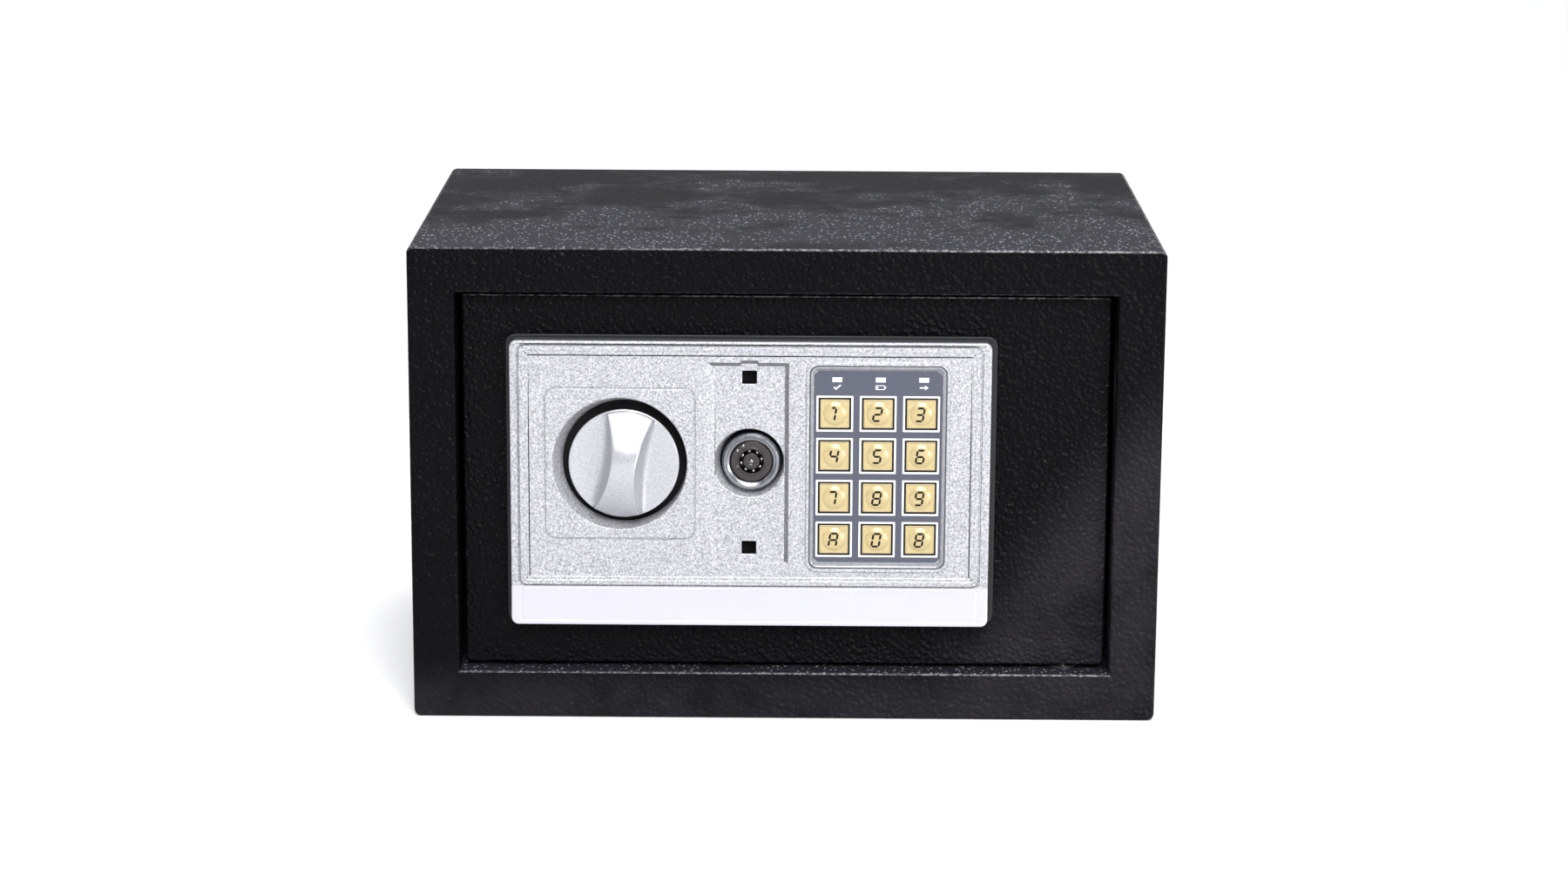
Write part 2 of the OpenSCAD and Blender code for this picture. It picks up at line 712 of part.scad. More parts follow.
// Shouldered studs that the carriage slides on.
module carriage_studs() color("silver") for (z = stud_z) difference() {
    union() {
        bar(stud_x, z, stud_seat_r, door_back, carriage_depth - 0.1);
        bar(stud_x, z, stud_r, door_back, carriage_depth + carriage_t + 2);
    }
    difference() {
        bar(stud_x, z, stud_r + 1, carriage_depth + carriage_t + 0.4, carriage_depth + carriage_t + 1.2);
        bar(stud_x, z, stud_r - 0.5, carriage_depth, carriage_depth + carriage_t + 2);
    }
}

module stud_clips() color("silver") for (z = stud_z)
    clip(stud_x, z, stud_r - 0.5, stud_r + 2.5, carriage_depth + carriage_t + 0.4,
         carriage_depth + carriage_t + 1.2);

// ---- override lock -------------------------------------------------------------------------

module lock_housing() color("#c9ccd2") difference() {
    union() {
        bar(lock_x, lock_z, lock_head_r, lock_face + 1, door_recess);
        cone(lock_x, lock_z, lock_head_r - 1, lock_head_r, lock_face, lock_face + 1);
        bar(lock_x, lock_z, lock_body_r, door_recess, lock_body_end);
    }
    cone(lock_x, lock_z, lock_plug_r + 0.9, lock_plug_r + skin, lock_face - 0.01, plug_face);
    bar(lock_x, lock_z, lock_plug_r + skin, plug_face - 0.1, 7);
    bar(lock_x, lock_z, lock_core_r + skin, 6, lock_body_end + 1);
}

module lock_nut() color("silver") difference() {
    slab(door_back, door_back + 5) translate([lock_x, lock_z]) circle(13.2, $fn = 6);
    bar(lock_x, lock_z, lock_body_r, door_back - 1, door_back + 6);
}

module lock_plug() color("#5d5f66") difference() {
    union() {
        bar(lock_x, lock_z, lock_plug_r, plug_face, 7 - skin);
        bar(lock_x, lock_z, lock_core_r, 6, cam_depth);
    }
    difference() {
        union() {
            bar(lock_x, lock_z, keyway_r, plug_face - 1, plug_face + keyway_deep);
            slab(plug_face - 1, plug_face + keyway_deep) translate([lock_x, lock_z])
                rotate(200) translate([0, -0.9]) square([keyway_r + 1.3, 1.8]);
        }
        bar(lock_x, lock_z, keypost_r, plug_face - 2, plug_face + keyway_deep + 1);
    }
    bar(lock_x, lock_z, 1.6, lock_body_end - 8, lock_body_end + 1);
}

// Cam finger; the angle is counted from +X towards +Z.
module lock_cam() color("silver") slab(cam_depth, cam_depth + cam_t) translate([lock_x, lock_z])
    difference() {
        union() {
            circle(8);
            rotate(cam_angle) {
                translate([0, -3]) square([cam_reach, 6]);
                translate([cam_reach, 0]) circle(3);
            }
        }
        circle(1.6);
    }

module cam_screw() color("silver")
    screw(lock_x, lock_z, 1.6, cam_depth + cam_t, lock_body_end - 7, 4, 2);

// ---- solenoid ------------------------------------------------------------------------------

module solenoid_frame() color("#b9bcc2") {
    wide = coil_r + 2.5;
    difference() {
        union() {
            for (z = [sol_z0, sol_z1 - sol_plate])
                slab(door_back, sol_depth + coil_r) rect(sol_x - wide, z, sol_x + wide, z + sol_plate);
            slab(door_back, sol_depth + coil_r) rect(sol_x - wide, sol_z0, sol_x - wide + sol_plate, sol_z1);
        }
        post(sol_x, sol_depth, plunger_r + 0.3, sol_z0 - 1, sol_z1 + 1);
    }
}

module solenoid_coil() color("#8c3b22") difference() {
    post(sol_x, sol_depth, coil_r, sol_z0 + sol_plate, sol_z1 - sol_plate);
    post(sol_x, sol_depth, plunger_r + 0.3, sol_z0, sol_z1);
}

module plunger() color("#d8dade") {
    post(sol_x, sol_depth, plunger_r, plunger_z0, sol_z1 - 3);
    difference() {
        post(sol_x, sol_depth, plunger_r + 1.8, collar_z, collar_z + 1);
        post(sol_x, sol_depth, plunger_r - 0.5, collar_z - 1, collar_z + 2);
    }
    bar(sol_x, collar_z - 0.4, lift_pin_r, sol_depth + 1, sol_depth + 13);
}

// Light helical spring between the solenoid frame and the plunger's collar.
spring_turns = 3;
spring_r = 4;
spring_wire_r = 0.3;
spring_steps = 14;        // rings in each turn
spring_z0 = collar_z + 1 + spring_wire_r + 0.25;
spring_z1 = sol_z0 - spring_wire_r - 0.05;

function spring_ring(k) =
    let (a = 360 * k / spring_steps,
         share = k / (spring_turns * spring_steps),
         centre = [sol_x, front + sol_depth, spring_z0 + share * (spring_z1 - spring_z0)],
         out = [cos(a), sin(a), 0])
    [for (s = [0 : 5]) centre + out * (spring_r + spring_wire_r * cos(60 * s))
                       + [0, 0, spring_wire_r * sin(60 * s)]];

module plunger_spring() color("silver") {
    rings = spring_turns * spring_steps + 1;
    last = (rings - 1) * 6;
    polyhedron(
        points = [for (k = [0 : rings - 1]) each spring_ring(k)],
        faces = concat(
            [[for (s = [5 : -1 : 0]) s]],
            [for (k = [0 : rings - 2]) for (s = [0 : 5])
                [k * 6 + s, k * 6 + (s + 1) % 6, (k + 1) * 6 + (s + 1) % 6, (k + 1) * 6 + s]],
            [[for (s = [0 : 5]) last + s]]));
}

// ---- battery tray and reset ----------------------------------------------------------------

module battery_tray() color("#29292c") difference() {
    union() {
        slab(tray_front, cover_back - cover_t) rect(tray_x0, tray_z0, tray_x1, tray_z1);
        slab(cover_back - cover_t - 1.2, cover_back - cover_t)
            rect(tray_x0 - tray_flange, tray_z0 - tray_flange, tray_x1 + tray_flange, tray_z1 + tray_flange);
    }
    slab(tray_front + tray_wall, cover_back)
        rect(tray_x0 + tray_wall, tray_z0 + tray_wall, tray_x1 - tray_wall, tray_z1 - tray_wall);
}

function cell_z(n) = tray_z0 + tray_wall + cell_pitch * (n + 0.5);
cell_depth = tray_front + tray_wall + cell_r + 0.2;
cell_mid = (tray_x0 + tray_x1) / 2;

module battery_cells() color("#b98a3a") for (n = [0 : 3]) {
    side = n % 2 == 0 ? 1 : -1;
    rod(cell_mid - cell_len / 2 + (side < 0 ? 1.2 : 0), cell_mid + cell_len / 2 - (side > 0 ? 1.2 : 0),
        cell_depth, cell_z(n), cell_r);
    nub = side > 0 ? cell_mid + cell_len / 2 - 1.2 : cell_mid - cell_len / 2;
    rod(nub, nub + 1.2, cell_depth, cell_z(n), 2.7);
}

module battery_contacts() color("silver") for (n = [0 : 3]) for (side = [-1, 1]) {
    wall_x = side > 0 ? tray_x1 - tray_wall : tray_x0 + tray_wall;
    slab(tray_front + tray_wall + 1, cover_back - 8)
        rect(min(wall_x, wall_x - side * 0.5), cell_z(n) - 5, max(wall_x, wall_x - side * 0.5), cell_z(n) + 5);
    rod(min(wall_x - side * 0.5, cell_mid + side * cell_len / 2),
        max(wall_x - side * 0.5, cell_mid + side * cell_len / 2), cell_depth, cell_z(n), 2.4);
}

module battery_cover() color("#222225") difference() {
    union() {
        slab(cover_back - cover_t, cover_back + 0.6)
            rect(tray_x0 - 0.4, tray_z0 - 0.4, tray_x1 + 0.4, tray_z1 + 0.4);
        for (z = [tray_z0 + tray_wall + 0.3, tray_z1 - tray_wall - 1.8])
            slab(cover_back - cover_t - 2, cover_back - cover_t)
                rect(cell_mid - 8, z, cell_mid + 8, z + 1.5);
    }
    for (k = [-2 : 2]) slab(cover_back, cover_back + 1) square_at([cell_mid, tray_z0 + 12 + k * 2], 16, 0.8);
}

module reset_switch() color("#2b2b2e") {
    slab(reset_front, reset_seat - reset_travel) square_at([reset_x, reset_z], 9, 12);
    for (side = [-1, 1])
        slab(reset_seat - reset_travel, cover_back - cover_t)
            square_at([reset_x, reset_z + side * 5.2], 9, 1.6);
}

module reset_button() color("#b3241f") {
    bar(reset_x, reset_z, reset_r, reset_seat + reset_travel, cover_back + 1.6);
    bar(reset_x, reset_z, 1.2, reset_seat, reset_seat + reset_travel);
}

// ---- assembly ------------------------------------------------------------------------------

cabinet_wrap();
front_frame();
back_panel();
pivot_bushes();
floor_mat();
door_plate();
hinge_lugs();
hinge_pins();
bolt_guide();
inner_cover();
cover_posts();
cover_screws();
panel_base();
control_panel();
panel_screws();
keypad_frame();
keypad_overlay();
indicator_lamps();
keypad_board();
key_switches();
cable_grommet();
wiring_harness();
lock_housing();
lock_nut();
knob_bush();
carriage_studs();
stud_clips();
solenoid_frame();
solenoid_coil();
battery_tray();
battery_cells();
battery_contacts();
reset_switch();
knob();
knob_shaft();
shaft_clip();
crank_arm();
bolt_plate();
locking_bolts();
bolt_screws();
lock_plug();
lock_cam();
cam_screw();
plunger();
plunger_spring();
battery_cover();
reset_button();
for (n = [0 : len(keys) - 1])
    key(n);
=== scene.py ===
"""Visual model of a small electronic safe, built round its packed CAD frame.

Sizes are in millimetres while a mesh is shaped; each finished mesh is scaled to metres.
Depth is counted from the cabinet's front face towards the back.
"""

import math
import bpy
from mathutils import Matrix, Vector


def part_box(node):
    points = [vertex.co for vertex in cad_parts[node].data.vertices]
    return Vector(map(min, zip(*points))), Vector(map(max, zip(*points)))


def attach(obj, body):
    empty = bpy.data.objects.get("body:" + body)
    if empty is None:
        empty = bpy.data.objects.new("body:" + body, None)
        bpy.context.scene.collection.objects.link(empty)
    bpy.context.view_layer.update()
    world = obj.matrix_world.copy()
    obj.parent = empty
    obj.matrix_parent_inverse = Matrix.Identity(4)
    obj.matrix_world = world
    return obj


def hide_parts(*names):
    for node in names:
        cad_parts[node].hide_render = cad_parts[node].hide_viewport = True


bl_info = {
    "name": "Electronic Safe",
    "version": (1, 0, 0),
    "blender": (4, 5, 0),
    "location": "View3D > Sidebar > Safe",
    "description": "Builds the pieces, finishes and stage of a small electronic safe",
    "category": "Object",
}

import bmesh
import bpy
from bmesh.types import BMEdge, BMFace, BMVert
from bpy.props import FloatProperty, FloatVectorProperty, PointerProperty
from mathutils import Matrix, Vector

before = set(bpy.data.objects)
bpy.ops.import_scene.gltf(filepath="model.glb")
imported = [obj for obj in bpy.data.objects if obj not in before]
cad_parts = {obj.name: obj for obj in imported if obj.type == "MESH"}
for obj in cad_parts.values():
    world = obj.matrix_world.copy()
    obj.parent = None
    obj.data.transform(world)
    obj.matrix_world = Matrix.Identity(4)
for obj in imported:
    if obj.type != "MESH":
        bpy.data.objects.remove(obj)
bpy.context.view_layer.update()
MM = 0.001


# ---- places taken from the frame ----

def span(node):
    """Lowest and highest corner of a CAD node, in millimetres."""
    low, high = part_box(node)
    return low / MM, high / MM


FRONT = span("front_frame")[0].y


def depth_span(node):
    """Front and back depth of a CAD node."""
    low, high = span(node)
    return low.y - FRONT, high.y - FRONT


def centre(node):
    """Centre of a CAD node across the front, as X and Z."""
    low, high = span(node)
    return ((low.x + high.x) / 2, (low.z + high.z) / 2)


KEYS = ("1", "2", "3", "4", "5", "6", "7", "8", "9", "a", "0", "b")


# ---- settings ----

def size(name, description, default):
    return FloatProperty(name=name, description=description, default=default, min=0.0, precision=2)


def colour(name, description, default):
    return FloatVectorProperty(name=name, description=description, default=default,
                               subtype="COLOR", size=3, min=0.0, max=1.0)


class SafePanelSettings(bpy.types.PropertyGroup):
    """Shape of the moulded control panel, in millimetres."""
    band: size("Side band", "Width of the flat band left and right of the raised plate", 4.0)
    head: size("Head band", "Width of the flat band over the raised plate", 2.0)
    strip: size("Foot strip", "Height of the smooth sloping strip along the foot", 17.2)
    lean: size("Strip lean", "How far the foot of the strip comes forward", 2.0)
    plate_rise: size("Plate rise", "How far the raised plate stands in front of the band", 1.2)
    lip: size("Lip width", "Width of the raised plate's lip", 3.2)
    face_rise: size("Face rise", "How far the grained face stands in front of the band", 0.8)
    pad_half: size("Knob field", "Half the width of the square field round the knob", 31.0)
    pocket_r: size("Knob pocket radius", "Radius of the knob pocket at its rim", 27.8)
    pocket_floor_r: size("Pocket floor radius", "Radius of the knob pocket at its floor", 25.7)
    lock_pocket_r: size("Lock pocket radius", "Radius of the lock pocket at its rim", 14.5)
    slope_left: size("Left slope", "Width of the channel's left slope", 2.4)
    slope_right: size("Right slope", "Width of the channel's right and upper slope", 1.5)
    channel_deep: size("Channel depth", "Depth of the channel's floor behind the band", 0.8)
    clip_w: size("Clip slot width", "Width of the square clip slots", 6.0)
    clip_h: size("Clip slot height", "Height of the square clip slots", 5.6)


class SafeKnobSettings(bpy.types.PropertyGroup):
    """Shape of the turn knob, in millimetres."""
    radius: size("Radius", "Radius of the knob's disc", 22.8)
    rise: size("Grip height", "Height of the grip over the disc", 11.0)
    waist: size("Grip waist", "Width of the grip at its middle", 10.2)
    end: size("Grip end", "Width of the grip at its ends", 18.6)
    dish: size("Dish", "How deep the disc is dished on each side of the grip", 0.9)
    lean: FloatProperty(name="Lean", description="Angle of the grip from upright, clockwise",
                        default=math.radians(8), subtype="ANGLE")


class SafeKeypadSettings(bpy.types.PropertyGroup):
    """Shape of the keypad, in millimetres."""
    window: size("Key window", "Width of the square windows in the film", 12.1)
    key: size("Key width", "Width of a square key", 11.9)
    dome_r: size("Dome radius", "Radius of a key's round dome", 4.8)
    dome_h: size("Dome height", "Height of a key's dome", 0.9)
    border: size("Border width", "Outer width of the white border round a key", 15.1)
    digit_w: size("Digit width", "Width of a key's digit", 3.9)
    digit_h: size("Digit height", "Height of a key's digit", 6.3)
    stroke: size("Digit stroke", "Thickness of a digit's strokes", 0.88)


class SafeFinishSettings(bpy.types.PropertyGroup):
    """Colours of the finishes."""
    coat: colour("Powder coat", "Colour of the textured coat", (0.0015, 0.0014, 0.0018))
    silver: colour("Silver paint", "Colour of the control panel", (0.355, 0.355, 0.381))
    strip: colour("Smooth silver", "Colour of the smooth strip", (0.405, 0.4, 0.445))
    moulding: colour("Dark moulding", "Colour of the unpainted moulding", (0.043, 0.044, 0.053))
    film: colour("Keypad film", "Colour of the printed film", (0.041, 0.045, 0.066))
    bezel: colour("Keypad bezel", "Colour of the translucent bezel", (0.2, 0.202, 0.225))
    gold: colour("Key gold", "Colour of the keys", (0.385, 0.31, 0.157))
    ink: colour("Black ink", "Colour of the digits", (0.005, 0.0045, 0.005))
    white: colour("White ink", "Colour of the white print", (0.53, 0.535, 0.56))
    floor: colour("Floor", "Colour of the stage floor", (0.72, 0.72, 0.725))


# ---- drawing ----

NEARLY_STRAIGHT = math.radians(88)


def arc(cx, cz, radius, start, sweep, steps):
    """Points on an arc; the angles are in degrees, counted from +X towards +Z."""
    return [(cx + radius * math.cos(math.radians(start + sweep * k / steps)),
             cz + radius * math.sin(math.radians(start + sweep * k / steps)))
            for k in range(steps + 1)]


def circle(cx, cz, radius, count=64):
    """Points round a circle, without the first one repeated."""
    return arc(cx, cz, radius, 0, 360, count)[:-1]


def corner(back, here, on, radius, share, steps):
    """The arc that rounds a corner; it takes at most a share of each side."""
    back, here, on = Vector(back), Vector(here), Vector(on)
    into, away = back - here, on - here
    half = into.angle(away) / 2
    if half > NEARLY_STRAIGHT:
        return [tuple(here)]
    reach = min(radius / math.tan(half), into.length * share, away.length * share)
    into.normalize()
    away.normalize()
    hub = here + (into + away).normalized() * (reach / math.cos(half))
    first, last = here + into * reach - hub, here + away * reach - hub
    turn = first.angle_signed(last)
    return [tuple(hub + Matrix.Rotation(-turn * s / steps, 2) @ first) for s in range(steps + 1)]


def rounded(corners, radius, steps):
    """A polygon, anticlockwise, with its corners rounded."""
    points = []
    for k, here in enumerate(corners):
        on = corners[(k + 1) % len(corners)]
        points += corner(corners[k - 1], here, on, radius, 0.49, steps)
    return points


def rectangle(x0, z0, x1, z1, radius, steps=5):
    return rounded([(x0, z0), (x1, z0), (x1, z1), (x0, z1)], radius, steps)


def square(at, half_w, half_h, radius, steps=4):
    return rectangle(at[0] - half_w, at[1] - half_h, at[0] + half_w, at[1] + half_h, radius, steps)


def offset(points, distance):
    """The outline moved outwards, or inwards where the distance is negative."""
    if abs(distance) < 1e-9:
        return list(points)
    moved = []
    count = len(points)
    for k in range(count):
        here = Vector(points[k])
        into = (here - Vector(points[k - 1])).normalized()
        out = (Vector(points[(k + 1) % count]) - here).normalized()
        n1, n2 = Vector((into.y, -into.x)), Vector((out.y, -out.x))
        mid = n1 + n2
        moved.append(tuple(here + mid * (distance * 2 / max(mid.length_squared, 0.2))))
    return moved


def eased(path, radius, steps=3):
    """A cross-section of (offset, depth) points with its inner corners rounded."""
    points = [tuple(path[0])]
    for back, here, on in zip(path, path[1:], path[2:]):
        points += corner(back, here, on, radius, 0.48, steps)
    return points + [tuple(path[-1])]


# ---- mesh work ----

def only(kind, made):
    """The vertices, edges or faces among what an operator made."""
    return [g for g in made["geom"] if isinstance(g, kind)]


def tube(bm, rings):
    """Walls from ring to ring; each ring is a list of points and a depth.

    Returns the first ring's edges, the last ring's edges and the faces of every wall.
    """
    points, depth = rings[0]
    verts = [bm.verts.new((x, FRONT + depth, z)) for x, z in points]
    first = edges = [bm.edges.new((verts[k - 1], verts[k])) for k in range(len(verts))]
    walls = []
    for points, depth in rings[1:]:
        made = bmesh.ops.extrude_edge_only(bm, edges=edges)
        fresh = {tuple(v.co): v for v in only(BMVert, made)}
        verts = [fresh[tuple(v.co)] for v in verts]
        for vert, (x, z) in zip(verts, points):
            vert.co = (x, FRONT + depth, z)
        ends = set(verts)
        edges = [e for e in only(BMEdge, made) if ends.issuperset(e.verts)]
        walls.append(only(BMFace, made))
    return first, edges, walls


def web(bm, *loops):
    """A flat area inside the first loop and outside the others."""
    return only(BMFace, bmesh.ops.triangle_fill(
        bm, use_beauty=True, use_dissolve=False, edges=[e for loop in loops for e in loop],
        normal=(0, -1, 0)))


def wall(bm, outline, path):
    """Walls round an outline, along a cross-section of (offset, depth) points."""
    return tube(bm, [(offset(outline, o), d) for o, d in path])


def dress(walls, index, beyond=-math.inf):
    """Gives walls another finish, or only what lies behind a depth."""
    for faces in walls:
        for face in faces:
            if face.calc_center_median().y > FRONT + beyond:
                face.material_index = index


def plate(bm, outline, holes, front, back, ease, steps=1, hole_ease=None):
    """A flat plate with holes and rounded edges."""
    thickest = (back - front) * 0.45
    reach = min(ease, thickest)
    hole_reach = reach if hole_ease is None else min(hole_ease, thickest)

    def edge(shape, inset, reach):
        return wall(bm, shape, eased([(inset, front), (0, front), (0, back), (inset, back)],
                                     reach, steps))

    outer = edge(outline, -reach * 1.6, reach)
    inner = [edge(hole, hole_reach * 1.6, hole_reach) for hole in holes]
    for side in (0, 1):
        web(bm, outer[side], *[made[side] for made in inner])


def revolve(bm, verts, at, axis, steps):
    """Spins a row of vertices into a round piece."""
    edges = [bm.edges.new(pair) for pair in zip(verts, verts[1:])]
    bmesh.ops.spin(bm, geom=verts + edges, cent=at, axis=axis, angle=math.tau, steps=steps,
                   use_merge=True, use_normal_flip=False, use_duplicate=False)


def turned(bm, at, profile, steps):
    """A round piece on an axis from front to back; the profile is a list of (radius, depth)."""
    x, z = at
    verts = [bm.verts.new((x + r, FRONT + d, z)) for r, d in profile]
    revolve(bm, verts, (x, 0, z), (0, 1, 0), steps)


def chamfer(bm, edges, width, segments, **fields):
    bmesh.ops.bevel(bm, geom=edges, affect="EDGES", offset=width, segments=segments, profile=0.5,
                    material=-1, clamp_overlap=True, **fields)


def bar(bm, low, high, ease, segments):
    """A block between two corners (X, depth, Z) with rounded edges."""
    low, high = Vector(low), Vector(high)
    made = bmesh.ops.create_cube(bm, size=1.0)["verts"]
    bmesh.ops.scale(bm, vec=high - low, verts=made)
    bmesh.ops.translate(bm, vec=(low + high) / 2 + Vector((0, FRONT, 0)), verts=made)
    chamfer(bm, list({e for v in made for e in v.link_edges}), ease, segments)


def close_up(bm):
    """Merges seams and poles and turns the faces outwards."""
    seam, sliver = 0.0005, 0.0004
    bmesh.ops.remove_doubles(bm, verts=bm.verts, dist=seam)
    bmesh.ops.dissolve_degenerate(bm, edges=bm.edges, dist=sliver)
    bmesh.ops.recalc_face_normals(bm, faces=bm.faces)


def placed(name, data):
    """A new object in the scene."""
    made = bpy.data.objects.new(name, data)
    bpy.context.scene.collection.objects.link(made)
    return made


def piece(name, bm, uses, body, replaced=(), sharp=40):
    """Makes an object of a mesh, gives it its finishes and fixes it to its body."""
    close_up(bm)
    bmesh.ops.scale(bm, vec=(MM, MM, MM), verts=bm.verts)
    limit = math.radians(sharp)
    for edge in bm.edges:
        edge.smooth = not (edge.is_manifold and edge.calc_face_angle(0.0) > limit)
    for face in bm.faces:
        face.smooth = True
    mesh = bpy.data.meshes.new(name)
    bm.to_mesh(mesh)
    bm.free()
    for use in uses.split():
        mesh.materials.append(finishes[use])
    made = placed(name, mesh)
    weighted = made.modifiers.new("weighted normals", "WEIGHTED_NORMAL")
    weighted.keep_sharp = True
    weighted.weight = 80
    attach(made, body)
    if replaced:
        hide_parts(*replaced)
    return made


def softened(name, node, width, segments, pick, use, body, sharp=40):
    """Replaces a CAD node by a merged copy of it, with the sharp edges eased that pick() takes."""
    seam, flat, edge_angle = 0.0008, math.radians(0.5), math.radians(50)
    bm = bmesh.new()
    bm.from_mesh(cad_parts[node].data)
    bmesh.ops.scale(bm, vec=(1 / MM,) * 3, verts=bm.verts)
    bmesh.ops.remove_doubles(bm, verts=bm.verts, dist=seam)
    bmesh.ops.dissolve_limit(bm, angle_limit=flat, verts=bm.verts, edges=bm.edges,
                             delimit={"NORMAL"})
    edges = [e for e in bm.edges
             if e.is_manifold and e.calc_face_angle(0.0) > edge_angle and pick(e)]
    chamfer(bm, edges, width, segments, miter_outer="ARC" if segments > 2 else "SHARP")
    return piece(name, bm, use, body, [node], sharp)


def long_edge(shortest):
    """Chooses straight edges that are at least so long."""
    return lambda e: e.calc_length() >= shortest


# ---- finishes ----

class Finish:
    """A small helper that builds one node material."""

    def __init__(self, name, base, rough, metal=0.0, **sockets):
        self.material = bpy.data.materials.new(name)
        self.material.use_nodes = True
        self.tree = self.material.node_tree
        self.shader = self.tree.nodes["Principled BSDF"]
        self.base = base
        self.place = None
        sockets.update(Base_Color=(*base, 1.0), Roughness=rough, Metallic=metal)
        for key, value in sockets.items():
            self.shader.inputs[key.replace("_", " ")].default_value = value

    def feed(self, socket, value):
        """Links an output to a socket, or sets the socket to a fixed value."""
        if hasattr(value, "is_output"):
            self.tree.links.new(value, socket)
        else:
            socket.default_value = value

    def node(self, kind, inputs=None, **fields):
        made = self.tree.nodes.new("ShaderNode" + kind)
        for key, value in fields.items():
            setattr(made, key, value)
        for key, value in (inputs or {}).items():
            self.feed(made.inputs[key], value)
        return made

    def point(self, stretch=(1, 1, 1), turn=(0, 0, 0)):
        """Object coordinates, stretched or turned."""
        if self.place is None:
            self.place = self.node("TexCoord").outputs["Object"]
        if stretch == (1, 1, 1) and turn == (0, 0, 0):
            return self.place
        return self.node("Mapping", {"Vector": self.place, "Scale": stretch,
                                     "Rotation": turn}).outputs["Vector"]

    def axes(self, vector=None):
        """X, Y and Z of a vector, or of the object coordinates."""
        vector = self.point() if vector is None else vector
        return self.node("SeparateXYZ", {"Vector": vector}).outputs

    def noise(self, scale, detail=2, rough=0.5, stretch=(1, 1, 1), distortion=0, turn=(0, 0, 0)):
        return self.node("TexNoise", {"Vector": self.point(stretch, turn), "Scale": scale,
                                      "Detail": detail, "Roughness": rough,
                                      "Distortion": distortion}).outputs["Fac"]

    def cells(self, scale, smooth=0.0, stretch=(1, 1, 1), randomness=1.0):
        inputs = {"Vector": self.point(stretch), "Scale": scale, "Randomness": randomness}
        if smooth > 0:
            inputs["Smoothness"] = smooth
        return self.node("TexVoronoi", inputs,
                         feature="SMOOTH_F1" if smooth > 0 else "F1").outputs["Distance"]

    def band(self, value, low, high, out_low=0.0, out_high=1.0):
        """Maps a range of values onto another, smoothly."""
        return self.node("MapRange", {"Value": value, "From Min": low, "From Max": high,
                                      "To Min": out_low, "To Max": out_high},
                         interpolation_type="SMOOTHSTEP").outputs["Result"]

    def times(self, a, b, operation="MULTIPLY"):
        made = self.node("Math", operation=operation)
        for socket, value in zip(made.inputs, (a, b)):
            self.feed(socket, value)
        return made.outputs[0]

    def mix(self, share, first, second):
        """One colour turning into another; a colour may be an output too."""
        made = self.node("Mix", data_type="RGBA")
        for socket, value in zip([s for s in made.inputs if s.enabled], (share, first, second)):
            self.feed(socket, (*value, 1.0) if isinstance(value, tuple) else value)
        return [s for s in made.outputs if s.enabled][0]

    def tone(self, value, low, high, dark, light):
        """The base colour, darkened where a value is low and lightened where it is high."""
        return self.mix(self.band(value, low, high), shade(self.base, dark),
                        shade(self.base, light))

    def drive(self, socket, value):
        self.tree.links.new(value, self.shader.inputs[socket])

    def roughen(self, value, low, high):
        self.drive("Roughness", self.band(value, 0.3, 0.7, low, high))

    def bump(self, height, distance, strength=1.0, below=None):
        inputs = {"Height": height, "Distance": distance, "Strength": strength}
        if below is not None:
            inputs["Normal"] = below
        made = self.node("Bump", inputs).outputs["Normal"]
        self.drive("Normal", made)
        return made


def shade(base, factor):
    return tuple(min(1.0, c * factor) for c in base)


